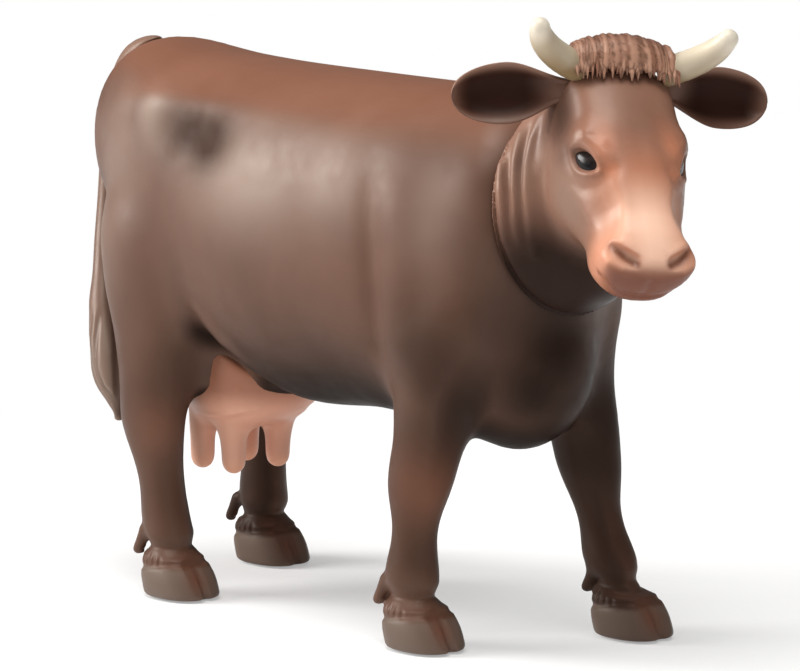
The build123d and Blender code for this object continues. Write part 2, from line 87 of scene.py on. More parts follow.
def unit(vector):
    """The vector at length one."""
    vector = np.asarray(vector, float)
    return vector / np.linalg.norm(vector)


def full_turn(count):
    """Even steps round a circle."""
    return np.arange(count) * 2 * math.pi / count


def mirrored(points, axis):
    """The points, and their mirror image across an axis if one is given."""
    if axis is None:
        return (points,)
    return points, points * np.where(np.arange(3) == axis, -1.0, 1.0)


def dense_line(line, count):
    """More points along a line."""
    line = np.array(line, float)
    marks = np.linspace(0.0, len(line) - 1.0, count)
    return np.stack([np.interp(marks, np.arange(len(line)), line[:, axis]) for axis in range(3)], 1)


def stretches(line, cells):
    """Each stretch of a line: its number, then every cell's share along it and squared gap to it."""
    for number, (start, end) in enumerate(zip(line, line[1:])):
        move = end - start
        along = sum((cell - place) * part for cell, place, part in zip(cells, start, move))
        share = np.clip(along / (move @ move), 0.0, 1.0)
        gap = sum((cell - place - share * part) ** 2 for cell, place, part in zip(cells, start, move))
        yield number, share, gap


def smoothstep(low, high, values):
    """0 below low, 1 above high, and a soft rise between."""
    share = np.clip((values - low) / (high - low), 0.0, 1.0)
    return share * share * (3.0 - 2.0 * share)


def smooth_min(a, b, blend):
    """The lower of two distances, rounded where they meet."""
    share = np.clip(0.5 + 0.5 * (b - a) / blend, 0.0, 1.0)
    return b + (a - b) * share - blend * share * (1.0 - share)


def blurred(values, sigma):
    """The values smoothed by a bell of that many cells."""
    reach = int(3 * sigma) + 1
    taps = np.exp(-0.5 * (np.arange(-reach, reach + 1) / sigma) ** 2)
    taps = (taps / taps.sum()).astype(np.float32)
    for axis in range(3):
        pads = [(reach, reach) if side == axis else (0, 0) for side in range(3)]
        padded = np.pad(values, pads, mode="edge")
        total = np.zeros_like(values)
        for place, tap in enumerate(taps):
            window = [slice(None)] * 3
            window[axis] = slice(place, place + values.shape[axis])
            total += tap * padded[tuple(window)]
        values = total
    return values


def doubled(values):
    """The values on a grid of half the step."""
    for axis in range(3):
        last = values.shape[axis] - 1
        before = values.take(np.clip(np.arange(-1, last), 0, last), axis)
        after = values.take(np.clip(np.arange(1, last + 2), 0, last), axis)
        pair = np.stack((0.75 * values + 0.25 * before, 0.75 * values + 0.25 * after), axis + 1)
        shape = list(values.shape)
        shape[axis] *= 2
        values = pair.reshape(shape).astype(np.float32)
    return values


def node_mesh(name):
    """The points in millimetres and the triangles of a node."""
    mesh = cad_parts[name].data
    mesh.calc_loop_triangles()
    points = np.empty(len(mesh.vertices) * 3)
    mesh.vertices.foreach_get("co", points)
    triangles = np.empty(len(mesh.loop_triangles) * 3, np.int32)
    mesh.loop_triangles.foreach_get("vertices", triangles)
    return points.reshape(-1, 3) / MM, triangles.reshape(-1, 3)


def node_field(name, step, below, above, on_head=False):
    """A field round one node, with room below and above, in the row frame or the head's directions."""
    points, triangles = node_mesh(name)
    if on_head:
        points, triangles = to_head(points), triangles[:, ::-1]
    field = Field(points.min(0) - below, points.max(0) + above, step)
    field.load(points, triangles)
    return field


class Field:
    """Signed distances in millimetres on an even grid, negative inside the solid."""

    def __init__(self, low, high, step):
        self.step = step
        self.start = np.floor(np.array(low) / step).astype(int) - MARGIN
        size = np.ceil(np.array(high) / step).astype(int) + MARGIN - self.start
        self.values = np.full(size, BAND, np.float32)

    def axes(self):
        """The places of the cells along each axis."""
        return [(self.start[i] + 0.5 + np.arange(self.values.shape[i])) * self.step for i in range(3)]

    def everywhere(self):
        """The coordinates of all cells."""
        return np.ix_(*self.axes())

    def window(self, low, high):
        """The cells between two corners, and their coordinates."""
        axes = self.axes()
        cut = tuple(slice(*np.searchsorted(axis, ends)) for axis, ends in zip(axes, zip(low, high)))
        return cut, np.ix_(*(axis[part] for axis, part in zip(axes, cut)))

    def load(self, points, triangles):
        """Joins the distances to a closed mesh."""
        grid = openvdb.FloatGrid.createLevelSetFromPolygons(
            (points - 0.5 * self.step).astype(np.float32),
            triangles=triangles.astype(np.uint32),
            transform=openvdb.createLinearTransform(self.step),
            halfWidth=BAND / self.step,
        )
        found = np.empty(self.values.shape, np.float32)
        grid.copyToArray(found, ijk=tuple(int(i) for i in self.start))
        self.values = np.minimum(self.values, found)

    def surface(self, thin=0.0):
        """The points, triangles and quads of the surface."""
        grid = openvdb.FloatGrid(BAND)
        grid.copyFromArray(self.values, ijk=tuple(int(i) for i in self.start))
        grid.transform = openvdb.createLinearTransform(self.step)
        points, triangles, quads = grid.convertToPolygons(0.0, thin)
        return points.astype(float) + 0.5 * self.step, triangles, quads

    def rebuild(self):
        """Measures the distances again from the present surface."""
        points, triangles, quads = self.surface()
        self.values[:] = BAND
        self.load(points, np.concatenate((triangles, quads[:, [0, 1, 2]], quads[:, [0, 2, 3]])))

    def refine(self):
        """Halves the step."""
        self.values = doubled(self.values)
        self.start = self.start * 2
        self.step /= 2

    def soften(self, radius):
        """Rounds every edge over about the radius."""
        self.values = blurred(self.values, radius / self.step)

    def fill_creases(self, radius):
        """Fills hollows narrower than the radius and leaves the bulges."""
        self.values = np.minimum(self.values, blurred(self.values, radius / self.step))

    def close_up(self, radius):
        """Fills holes and creases narrower than the radius on each side."""
        for move in (radius, -radius):
            self.values -= move
            self.rebuild()

    def cut_with(self, distance):
        """Keeps only what lies inside another solid too."""
        self.values = np.maximum(self.values, distance.astype(np.float32))

    def swell(self, centre, radii, amount, axes=None, mirror=None):
        """Raises the surface near a place by an amount that fades over the radii."""
        places = mirrored(np.array(centre, float), mirror)
        frames = mirrored(np.eye(3) if axes is None else np.array(axes, float), mirror)
        for place, directions in zip(places, frames):
            reach = FADE * (np.abs(directions) * np.array(radii)[:, None]).sum(0)
            cut, cells = self.window(place - reach, place + reach)
            spread = 0
            for direction, radius in zip(directions, radii):
                along = sum((cell - middle) * part for cell, middle, part in zip(cells, place, direction))
                spread = spread + (along / radius) ** 2
            self.values[cut] -= (amount * np.exp(-spread)).astype(np.float32)

    def stroke(self, points, widths, amounts, mirror=None):
        """Raises or cuts the surface along a line, with a width and amount at each point."""
        points = np.array(points, float)
        widths = np.broadcast_to(np.array(widths, float), len(points))
        amounts = np.broadcast_to(np.array(amounts, float), len(points))
        reach = FADE * widths.max()
        for line in mirrored(points, mirror):
            cut, cells = self.window(line.min(0) - reach, line.max(0) + reach)
            best = np.zeros(np.broadcast(*cells).shape, np.float32)
            for i, share, gap in stretches(line, cells):
                width = widths[i] + share * (widths[i + 1] - widths[i])
                amount = amounts[i] + share * (amounts[i + 1] - amounts[i])
                value = amount * np.exp(-gap / width**2)
                best = np.where(np.abs(value) > np.abs(best), value, best)
            self.values[cut] -= best.astype(np.float32)

    def tube(self, points, radii, blend):
        """Joins a round rod along a line."""
        points = np.array(points, float)
        radii = np.broadcast_to(np.array(radii, float), len(points))
        reach = radii.max() + 4 * blend + 1.0
        cut, cells = self.window(points.min(0) - reach, points.max(0) + reach)
        near = np.inf
        for i, share, gap in stretches(points, cells):
            near = np.minimum(near, np.sqrt(gap) - (radii[i] + share * (radii[i + 1] - radii[i])))
        self.values[cut] = smooth_min(self.values[cut], near, blend).astype(np.float32)

    def model(self, forms, mirror):
        """Raises or cuts each form, round a place or along a line, on one side or both."""
        for kind, place, size, rise in forms.values():
            if kind == ON_SKIN:
                place = self.settled(place)
            shape = self.swell if np.ndim(place) == 1 else self.stroke
            shape(place, size, rise, mirror=None if kind == SINGLE else mirror)

    def in_cells(self, points):
        """The points counted in cells from the grid's start."""
        return points / self.step - 0.5 - self.start

    def sample(self, place):
        """The distance between grid cells."""
        base = np.clip(np.floor(place).astype(int), 0, np.array(self.values.shape) - 2)
        share = place - base
        total = np.zeros(len(place))
        for corner in range(8):
            step = np.array((corner & 1, corner >> 1 & 1, corner >> 2 & 1))
            weight = np.prod(np.where(step, share, 1 - share), axis=1)
            i, j, k = (base + step).T
            total += weight * self.values[i, j, k]
        return total

    def outward(self, points):
        """The direction in which the distance grows, at each point."""
        directions = np.zeros_like(points)
        for axis in range(3):
            for side in (-1, 1):
                moved = self.in_cells(points)
                moved[:, axis] += side
                directions[:, axis] += side * self.sample(moved)
        length = np.linalg.norm(directions, axis=1, keepdims=True)
        return directions / np.maximum(length, TINY)

    def settled(self, points):
        """The nearest places on the surface."""
        places = np.array(points, float)
        for _ in range(SETTLE_ROUNDS):
            distance = self.sample(self.in_cells(places))
            places = places - distance[:, None] * self.outward(places)
        return places


# Pieces from points and faces
CAP_FLATNESS, CUT_WELD = 1e-7, 1e-5


def new_piece(name, points, faces, material, body):
    """A mesh piece in metres that rides on a body and stands for the node of its name."""
    mesh = bpy.data.meshes.new(f"{name}_skin")
    mesh.from_pydata((np.asarray(points) * MM).tolist(), [], [list(map(int, face)) for face in faces])
    mesh.update()
    mesh.shade_smooth()
    mesh.materials.append(material)
    piece = bpy.data.objects.new(f"{name}_skin", mesh)
    bpy.context.scene.collection.objects.link(piece)
    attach(piece, body)
    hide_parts(name)
    return piece


def ring_piece(name, points, around, flip, material):
    """A piece on the head from closed rings of points, with a cap at each end."""
    rows = len(points) // around
    faces = []
    for row in range(rows - 1):
        for step in range(around):
            low, high = row * around, (row + 1) * around
            after = (step + 1) % around
            faces.append([low + step, low + after, high + after, high + step])
    faces.append(list(range(around))[::-1])
    faces.append(list(range((rows - 1) * around, rows * around)))
    if flip:
        faces = [face[::-1] for face in faces]
    return new_piece(name, points, faces, material, "head")


def field_piece(name, field, material, body, masks, on_head=False, thin=THIN):
    """A piece from a field, with its airbrush masks, in the row frame or the head's directions."""
    points, triangles, quads = field.surface(thin)
    outward = field.outward(points)
    faces = [*triangles.tolist(), *quads.tolist()]
    places, directions = points, outward
    if on_head:
        faces = [face[::-1] for face in faces]
        places, directions = from_head(points), outward @ HEAD_AXES
    piece = new_piece(name, places, faces, material, body)
    set_normals(piece, directions)
    store(piece, masks(points, outward))


def set_normals(piece, outward, cap_side=0):
    """Smooth shading from the field, and a flat one on the cut face."""
    mesh = piece.data
    corners = np.empty(len(mesh.loops), np.int32)
    mesh.loops.foreach_get("vertex_index", corners)
    normals = outward[corners]
    if cap_side:
        middle = np.empty(len(mesh.polygons) * 3)
        mesh.polygons.foreach_get("center", middle)
        totals = np.empty(len(mesh.polygons), np.int32)
        mesh.polygons.foreach_get("loop_total", totals)
        cap = np.repeat(np.abs(middle.reshape(-1, 3)[:, 1]) < CAP_FLATNESS, totals)
        normals[cap] = (0.0, cap_side, 0.0)
    mesh.normals_split_custom_set(normals.tolist())


# Masks for airbrushed paint and for painted shade and painted highlights, one value from 0 to 1 at each point
def store(piece, masks):
    """Writes the masks to the mesh."""
    for name, values in masks.items():
        layer = piece.data.attributes.new(name, "FLOAT", "POINT")
        layer.data.foreach_set("value", np.clip(values, 0.0, 1.0).astype(np.float32))


def spots(points, rows):
    """The strongest of some soft round spots at each point: centre, radii, strength."""
    best = np.zeros(len(points))
    for centre, radii, strength in rows:
        spread = (((points - np.array(centre)) / np.array(radii)) ** 2).sum(1)
        best = np.maximum(best, strength * np.exp(-spread))
    return best


def line_gap(points, line, widths):
    """The squared gap from each point to the nearest place on a line, less that place's width squared."""
    gap = np.full(len(points), FAR)
    for place, width in zip(dense_line(line, len(widths)), widths):
        gap = np.minimum(gap, ((points - place) ** 2).sum(1) - width**2)
    return gap


def near_line(points, line, reach):
    """1 on a line, fading out over the reach."""
    return np.exp(-line_gap(points, line, np.zeros(6 * len(line))) / reach**2)


# Satin plastic: noise in turns per metre, its shine, and what a dull layer leaves of the shine
MOTTLE_SCALE, WEAR_SCALE, GRAIN_SCALE = 55.0, 240.0, 1900.0
WEAR = 0.05
GRAIN, GRAIN_DEPTH = 0.05, 0.00015
SHINE, SHINE_TINT = 0.34, (1.0, 0.9, 0.82, 1.0)
DULLED = 0.2


def srgb(red, green, blue):
    """A colour as it looks on a screen, 0 to 255, for a shader."""
    values = []
    for value in (red / 255, green / 255, blue / 255):
        values.append(value / 12.92 if value <= 0.04045 else ((value + 0.055) / 1.055) ** 2.4)
    return (*values, 1.0)


def new_material(name):
    """A material, its nodes, its shader and its object coordinates."""
    material = bpy.data.materials.new(name)
    material.use_nodes = True
    tree = material.node_tree
    coordinates = tree.nodes.new("ShaderNodeTexCoord").outputs["Object"]
    return material, tree, tree.nodes["Principled BSDF"], coordinates


def mix_colour(tree, factor, first, second):
    """A node that mixes two colours, each a colour or a socket, by a socket's value."""
    mix = tree.nodes.new("ShaderNodeMix")
    mix.data_type = "RGBA"
    tree.links.new(factor, mix.inputs[0])
    for socket, colour in ((mix.inputs[6], first), (mix.inputs[7], second)):
        if isinstance(colour, tuple):
            socket.default_value = colour
        else:
            tree.links.new(colour, socket)
    return mix.outputs[2]


def noise_value(tree, coordinates, scale, detail, distortion=0.0):
    """A noise pattern's value, its scale in turns per metre."""
    noise = tree.nodes.new("ShaderNodeTexNoise")
    noise.inputs["Scale"].default_value = scale
    noise.inputs["Detail"].default_value = detail
    noise.inputs["Distortion"].default_value = distortion
    tree.links.new(coordinates, noise.inputs["Vector"])
    return noise.outputs["Fac"]


def ranged(tree, value, low, high, start=0.35, end=0.65):
    """A socket's value carried from one range to another."""
    carry = tree.nodes.new("ShaderNodeMapRange")
    for name, bound in (("From Min", start), ("From Max", end), ("To Min", low), ("To Max", high)):
        carry.inputs[name].default_value = bound
    tree.links.new(value, carry.inputs["Value"])
    return carry.outputs["Result"]


def combined(tree, operation, first, second):
    """Two sockets' values multiplied, or the higher of them."""
    node = tree.nodes.new("ShaderNodeMath")
    node.operation = operation
    tree.links.new(first, node.inputs[0])
    tree.links.new(second, node.inputs[1])
    return node.outputs["Value"]


def satin(name, dark, light, layers, roughness, dull=()):
    """Satin moulded plastic: a mottled base, layers of airbrushed paint, painted shade and painted
    highlights, some of them dull, a fine grain.
    """
    material, tree, shader, coordinates = new_material(name)
    shader.inputs["Specular IOR Level"].default_value = SHINE
    shader.inputs["Specular Tint"].default_value = SHINE_TINT
    mottle = ranged(tree, noise_value(tree, coordinates, MOTTLE_SCALE, 3.0, 0.4), 0.0, 1.0)
    colour = mix_colour(tree, mottle, srgb(*dark), srgb(*light))
    level = None
    for attribute, layer in layers.items():
        reader = tree.nodes.new("ShaderNodeAttribute")
        reader.attribute_name = attribute
        mask = reader.outputs["Fac"]
        colour = mix_colour(tree, mask, colour, srgb(*layer))
        if attribute in dull:
            left = ranged(tree, mask, 1.0, DULLED, 0.0, 1.0)
            level = left if level is None else combined(tree, "MULTIPLY", level, left)
    if level is not None:
        level = ranged(tree, level, 0.0, SHINE, 0.0, 1.0)
        tree.links.new(level, shader.inputs["Specular IOR Level"])
    tree.links.new(colour, shader.inputs["Base Color"])
    wear = noise_value(tree, coordinates, WEAR_SCALE, 4.0)
    tree.links.new(ranged(tree, wear, roughness - WEAR, roughness + WEAR), shader.inputs["Roughness"])
    bump = tree.nodes.new("ShaderNodeBump")
    bump.inputs["Strength"].default_value = GRAIN
    bump.inputs["Distance"].default_value = GRAIN_DEPTH
    tree.links.new(noise_value(tree, coordinates, GRAIN_SCALE, 3.0), bump.inputs["Height"])
    tree.links.new(bump.outputs["Normal"], shader.inputs["Normal"])
    return material


# Forms: on which side, the place or line, its radii or width, and how far the skin rises there
PAIR, ON_SKIN, SINGLE = "both sides", "both sides, moved onto the skin", "one side"

# Body: both shells filled and softened into one form, then shaped and cut in half again
BODY_LOW, BODY_HIGH = (-68.0, -26.0, -2.0), (48.0, 26.0, 97.0)
CAVITY_FLOOR = 34.0
FILL_RADII, SOFT_RADIUS, EDGE_RADIUS = (2.6, 1.6), 1.1, 0.3
SIDE = 1
HOOF_CENTRES = ((-41.4, -16.0), (-53.4, 16.0), (18.4, -16.0), (34.7, 16.0))
TOE_REACH, TOE_SLOPE, TOE_FOOT = 8.9, 0.52, 0.5
HOOF_TAPER = 0.75
FETLOCK, FETLOCK_SIZE, FETLOCK_RISE = (4.0, 0.0, 10.6), (2.4, 4.0, 2.4), 0.5
FRINGE_TURNS = np.radians(np.arange(70, 291, 13))
DEWCLAW_SPREAD, DEWCLAW_RADII, DEWCLAW_BLEND = 2.2, (1.1, 0.7), 1.3
PIN_RIDGE = ((-43.5, -15.8, 84.0), (-52.0, -15.2, 82.8), (-58.0, -13.5, 80.5))
LOIN_SHELF = ((-43.5, -16.0, 84.2), (-30.0, -16.0, 85.0), (-10.0, -15.8, 85.0), (8.0, -15.6, 84.6))
THIGH_REAR = (
    (-51.0, -19.0, 30.0), (-53.0, -18.8, 38.0), (-54.0, -18.3, 44.0),
    (-57.0, -16.2, 51.0), (-58.6, -15.8, 60.0),
)
FLANK_FOLD = ((-30.5, -18.6, 50.0), (-26.2, -17.6, 45.2), (-21.5, -16.2, 41.9), (-15.2, -12.9, 38.4))
SHOULDER_EDGE = (
    (10.5, -18.0, 80.5), (12.8, -20.8, 73.5), (14.0, -21.8, 65.5), (14.5, -21.2, 57.0), (14.5, -20.2, 49.5)
)
SHOULDER_BLADE = ((17.5, -18.5, 79.5), (19.0, -20.3, 71.0), (20.0, -20.8, 61.0), (20.5, -21.0, 52.0))
# Grooves round a hoof: shift, length, width, height and tilt of the ring, then the groove's width and depth
HOOF_RINGS = {
    "coronet": (0.4, 5.9, 4.9, 5.5, 0.9, 0.45, -0.5),
    "hairline": (-1.4, 5.8, 4.6, 8.7, 0.0, 0.5, -0.3),
}
BODY_FORMS = {
    "hook bone": (PAIR, (-43.5, -16.2, 83.8), (5.0, 4.0, 4.0), 1.1),
    "pin ridge": (PAIR, PIN_RIDGE, 3.0, (0.5, 0.5, 0.6)),
    "loin shelf": (PAIR, LOIN_SHELF, 3.4, (0.7, 0.4, 0.2, 0.0)),
    "flank pit": (PAIR, (-30.5, -19.5, 79.5), (10.0, 6.0, 7.0), -0.8),
    "thigh": (PAIR, (-45.0, -20.5, 61.0), (9.0, 5.0, 13.0), 0.6),
    "thigh rear": (PAIR, THIGH_REAR, 4.0, (0.0, -0.9, -1.1, -0.9, 0.0)),
    "flank fold": (PAIR, FLANK_FOLD, 1.9, (0.4, 0.8, 0.7, 0.1)),
    "crook": (PAIR, (-28.5, -12.5, 41.5), (7.0, 4.0, 4.0), -1.6),
    "groin": (PAIR, (-32.5, -14.5, 39.5), (4.5, 5.0, 5.0), -2.6),
    "shoulder edge": (PAIR, SHOULDER_EDGE, 2.3, (0.0, -0.6, -0.9, -0.9, -0.5)),
    "shoulder blade": (PAIR, SHOULDER_BLADE, 3.2, (0.0, 0.4, 0.6, 0.4)),
    "shoulder point": (PAIR, (30.0, -17.8, 57.0), (6.0, 4.0, 6.0), 0.6),
    "upper arm": (PAIR, (25.0, -20.5, 44.5), (5.0, 4.0, 6.0), 0.5),
    "elbow": (PAIR, (19.0, -20.6, 50.5), (4.0, 3.5, 4.0), 0.5),
}
BODY_SPOTS = {
    # chest, crook and arm: painted shade on the brisket, in the flank crook and round the upper arm
    "chest": (((41.0, -4.0, 50.0), (11.0, 15.0, 20.0), 1.0), ((30.0, 0.0, 36.0), (14.0, 13.0, 12.0), 1.0)),
    "crook": (((-28.5, -13.0, 42.0), (6.0, 6.0, 4.0), 0.8),),
    "arm": (((25.0, -19.5, 48.0), (8.0, 7.0, 10.0), 0.7), ((38.0, -8.0, 42.0), (9.0, 12.0, 12.0), 1.0)),
    # pit: painted shade in the flank hollow, with less shine
    "pit": (((-33.5, -18.0, 80.2), (6.0, 8.0, 4.6), 1.2), ((-28.5, -18.5, 79.2), (6.0, 8.0, 5.4), 1.2)),
    "rust": (((23.0, -18.0, 27.0), (5.5, 5.0, 7.0), 0.5), ((-40.0, -19.0, 29.0), (6.0, 4.0, 5.0), 0.35)),
    # pale: painted highlights, the sheen on the hook bone, barrel, shoulder, rump and thigh
    "pale": (
        ((-44.0, -17.0, 82.5), (4.5, 6.0, 5.0), 0.9),
        ((-16.0, -21.0, 73.5), (15.0, 9.0, 8.5), 0.75),
        ((2.0, -21.0, 75.0), (13.0, 8.0, 8.0), 0.5),
        ((25.0, -19.5, 71.0), (6.0, 7.0, 8.0), 0.35),
        ((-53.0, -18.0, 75.0), (8.0, 6.0, 9.0), 0.5),
        ((-54.0, -19.0, 62.0), (7.0, 6.0, 13.0), 0.35),
    ),
}


def between_walls(solid, axis):
    """Cells that have solid on both sides along an axis."""
    ahead = np.maximum.accumulate(solid, axis)
    behind = np.flip(np.maximum.accumulate(np.flip(solid, axis), axis), axis)
    return ahead & behind


def hoof_details(field, middle_x, side_y):
    """Slants and tapers one hoof, then adds its coronet, hair fringe, dewclaws and toe cleft."""
    hoof = np.array((middle_x, side_y, 0.0))
    field.swell(hoof + FETLOCK, FETLOCK_SIZE, FETLOCK_RISE)
    cut, (x, _, z) = field.window(hoof + (1.0, -9.0, -2.0), hoof + (12.0, 9.0, 9.2))
    slant = ((x - middle_x - TOE_REACH) + TOE_SLOPE * (z - TOE_FOOT)) / math.hypot(1.0, TOE_SLOPE)
    field.values[cut] = np.maximum(field.values[cut], slant.astype(np.float32))
    cut, (_, _, z) = field.window(hoof + (-9.0, -9.0, 2.0), hoof + (12.0, 9.0, 11.5))
    taper = HOOF_TAPER * smoothstep(3.0, 7.5, z) * smoothstep(11.0, 8.5, z)
    field.values[cut] += taper.astype(np.float32)
    turns = np.radians(np.arange(0, 361, 15))
    ahead, aside = np.cos(turns), np.sin(turns)
    for shift, long, wide, height, tilt, width, depth in HOOF_RINGS.values():
        ring = hoof + np.stack((shift + long * ahead, wide * aside, height + tilt * ahead), 1)
        field.stroke(field.settled(ring), width, depth)
    for turn in FRINGE_TURNS:
        foot = hoof + (1.0 + 6.7 * math.cos(turn), 5.8 * math.sin(turn), 6.1)
        strand = field.settled((foot, foot + (-0.1, 0.0, 1.0), foot + (-0.2, 0.0, 2.2)))
        field.stroke(strand, 0.3, (-0.5, -0.45, -0.1))
    for offset in (-DEWCLAW_SPREAD, DEWCLAW_SPREAD):
        claw = hoof + (-4.6, offset, 10.6), hoof + (-6.7, offset, 7.2)
        field.tube(claw, DEWCLAW_RADII, DEWCLAW_BLEND)
    cleft = [hoof + (TOE_REACH - TOE_SLOPE * height, 0.0, height) for height in (7.2, 5.0, 2.5, 0.0)]
    field.stroke(cleft, 0.55, (-0.2, -0.8, -1.0, -1.0))


def cut_swivel(field):
    """Ends the body at the neck seam and hollows it for the spigot, the flange and the stop key."""
    x, y, z = field.everywhere()
    forward, upward = x - SEAM_MIDDLE[0], z - SEAM_MIDDLE[2]
    ahead = forward * SEAM_NORMAL[0] + upward * SEAM_NORMAL[2]
    rise = upward * SEAM_NORMAL[0] - forward * SEAM_NORMAL[2]
    turned = np.sqrt(y**2 + rise**2)
    hole = np.maximum(turned - SPIGOT_HOLE, -ahead - BULKHEAD - HOLE_OVERLAP)
    pocket = np.maximum(np.maximum(turned - FLANGE_POCKET, ahead + BULKHEAD), -ahead - POCKET_DEPTH)
    wedge = np.abs(y) * math.cos(SLOT_TURN) + rise * math.sin(SLOT_TURN)
    depth = np.maximum(ahead + SLOT_START, -ahead - SLOT_END)
    slot = np.maximum(np.maximum(turned - SLOT_REACH, wedge), depth)
    field.cut_with(ahead)
    field.cut_with(-np.minimum(np.minimum(hole, pocket), slot))


def build_body():
    """The whole body as one field."""
    field = Field(BODY_LOW, BODY_HIGH, COARSE)
    for node in ("body_right_shell", "body_left_shell"):
        field.load(*node_mesh(node))
    plug = Field(BODY_LOW, BODY_HIGH, COARSE)
    plug.load(*node_mesh("udder"))
    solid = field.values < 0
    closed = solid | (plug.values < 0)
    z = field.everywhere()[2]
    inner = between_walls(closed, 1) & between_walls(closed, 2) & (z > CAVITY_FLOOR)
    field.values[inner & ~solid] = -1.0
    field.rebuild()
    upper = np.maximum(smoothstep(16.0, 30.0, z), 0.8 * smoothstep(5.5, 8.5, z))
    for radius in FILL_RADII:
        filled = np.minimum(field.values, blurred(field.values, radius / field.step))
        field.values += (filled - field.values) * upper
    soft = blurred(field.values, SOFT_RADIUS / field.step)
    field.values += (soft - field.values) * (0.25 + 0.75 * smoothstep(8.0, 26.0, z))
    field.refine()
    field.soften(EDGE_RADIUS)
    field.model(BODY_FORMS, SIDE)
    for centre in HOOF_CENTRES:
        hoof_details(field, *centre)
    cut_swivel(field)
    field.cut_with(-field.everywhere()[2])
    return field


def body_masks(points, outward):
    """Painted shade underneath, in hollows and on the far legs, reddish paint on back and knees, painted
    highlights.
    """
    x, y, z = points.T
    even = np.stack((x, -np.abs(y), z), 1)
    # These darker masks are painted shade: faces turned down, inner sides and forward sides of the legs, the
    # far legs, down the legs
    under = smoothstep(0.05, 0.85, -outward[:, 2]) * smoothstep(22.0, 34.0, z)
    inside = 0.75 * smoothstep(-0.1, 0.7, -outward[:, 1] * np.sign(y)) * smoothstep(44.0, 30.0, z)
    left_legs = smoothstep(2.0, 10.0, y) * smoothstep(46.0, 34.0, z)
    left_legs = left_legs * (0.35 + 0.45 * smoothstep(12.0, 28.0, z))
    legs = smoothstep(62.0, 32.0, z) * 0.5 * smoothstep(8.0, 16.0, z) + 0.2 * smoothstep(16.0, 8.0, z)
    legs = legs * (0.6 + 0.4 * smoothstep(-20.0, 10.0, x))
    fronts = smoothstep(0.25, 0.95, outward[:, 0]) * smoothstep(58.0, 40.0, z) * smoothstep(10.0, 34.0, z)
    fronts = fronts * (0.25 + 0.6 * smoothstep(-10.0, 10.0, x))
    chest = spots(points, BODY_SPOTS["chest"])
    crook, arms = (spots(even, BODY_SPOTS[place]) for place in ("crook", "arm"))
    back = smoothstep(0.35, 0.95, outward[:, 2]) * smoothstep(78.0, 85.0, z) * 0.6
    clefts = [((hoof_x + 7.5, hoof_y - 1.0, 4.5), (2.4, 2.2, 3.6), 0.75) for hoof_x, hoof_y in HOOF_CENTRES]
    return {
        # pale is painted highlight, pit and dark are painted shade, red is reddish paint
        "pale": spots(points, BODY_SPOTS["pale"]),
        "pit": spots(even, BODY_SPOTS["pit"]),
        "dark": np.maximum.reduce((under, chest, inside, left_legs, crook, legs, arms, fronts)),
        "red": np.maximum(back, spots(points, BODY_SPOTS["rust"])),
        "hoof": smoothstep(5.6, 4.9, z),
        "cleft": spots(points, clefts),
    }


def body_halves(material):
    """The body cut along its middle into the two shells."""
    field = build_body()
    points, triangles, quads = field.surface(THIN)
    whole = bpy.data.meshes.new("whole")
    whole.from_pydata(points.tolist(), [], [*triangles.tolist(), *quads.tolist()])
    for name, keep in (("body_right_shell", -1), ("body_left_shell", 1)):
        shape = bmesh.new()
        shape.from_mesh(whole)
        everything = [*shape.verts, *shape.edges, *shape.faces]
        cut = {"plane_co": (0, 0, 0), "plane_no": (0, -keep, 0), "clear_outer": True, "dist": CUT_WELD}
        bmesh.ops.bisect_plane(shape, geom=everything, **cut)
        rim = [edge for edge in shape.edges if edge.is_boundary]
        bmesh.ops.triangle_fill(shape, edges=rim, use_beauty=True, normal=(0, -keep, 0))
        shape.verts.index_update()
        kept = np.array([vertex.co for vertex in shape.verts])
        half = [[vertex.index for vertex in face.verts] for face in shape.faces]
        shape.free()
        piece = new_piece(name, kept, half, material, "body")
        outward = field.outward(kept)
        set_normals(piece, outward, -keep)
        store(piece, body_masks(kept, outward))
    bpy.data.meshes.remove(whole)


body_layers = {
    # pale is a painted highlight, pit and dark are painted shade
    "pale": (142, 122, 110),
    # pit: painted shade in the flank hollow
    "pit": (58, 39, 30),
    # dark: painted shade underneath, between and down the legs, on the brisket and in the creases
    "dark": (33, 22, 17),
    "red": (132, 84, 62),
    "hoof": (98, 82, 72),
    "cleft": (116, 66, 46),
}
body_halves(satin("body_paint", (86, 58, 45), (98, 68, 54), body_layers, 0.48, ("dark", "pit")))


# Head and neck, in the head's directions
FACE = 0
HEAD_ROOM = 4.0
HEAD_CLOSED, HEAD_SOFT, MUZZLE_SOFT = 2.8, 0.9, 1.9
EYE_MIDDLE = np.array((-8.4, 16.0, -2.5))
EYE_LONG = unit((3.2, 4.7, 2.3))
EYE_FACING = np.array((-0.86, -0.05, 0.5))
EYE_FACING = unit(EYE_FACING - EYE_LONG * (EYE_FACING @ EYE_LONG))
EYE_RISE = np.cross(EYE_LONG, EYE_FACING)
EYE_SIZE = (3.3, 1.75, 1.1)
LIDS = ((EYE_SIZE[1] + 0.15, 0.55, 0.85), (-EYE_SIZE[1] - 0.25, 0.5, 0.45))
LID_EDGE, LID_REACH = 0.3, 1.1
SOCKET_SIZE, SOCKET_DIP = (2.6, 1.3, 2.4), -1.1
BROW = ((-9.4, 12.0, -3.0), (-8.0, 12.6, -1.4), (-6.6, 14.8, -0.3), (-5.7, 17.2, 0.0))
LID_CREASE = ((-9.9, 11.6, -3.6), (-8.7, 11.8, -2.0), (-7.0, 13.0, -0.7), (-6.0, 15.0, -0.1))
EYE_BAG = ((-10.2, 18.4, -5.6), (-9.4, 20.2, -4.2), (-7.8, 21.0, -2.2), (-6.2, 20.4, -0.9))
NOSE_SIDE = ((-6.4, 21.5, -1.8), (-6.0, 25.0, -1.9), (-6.2, 29.0, -2.0))
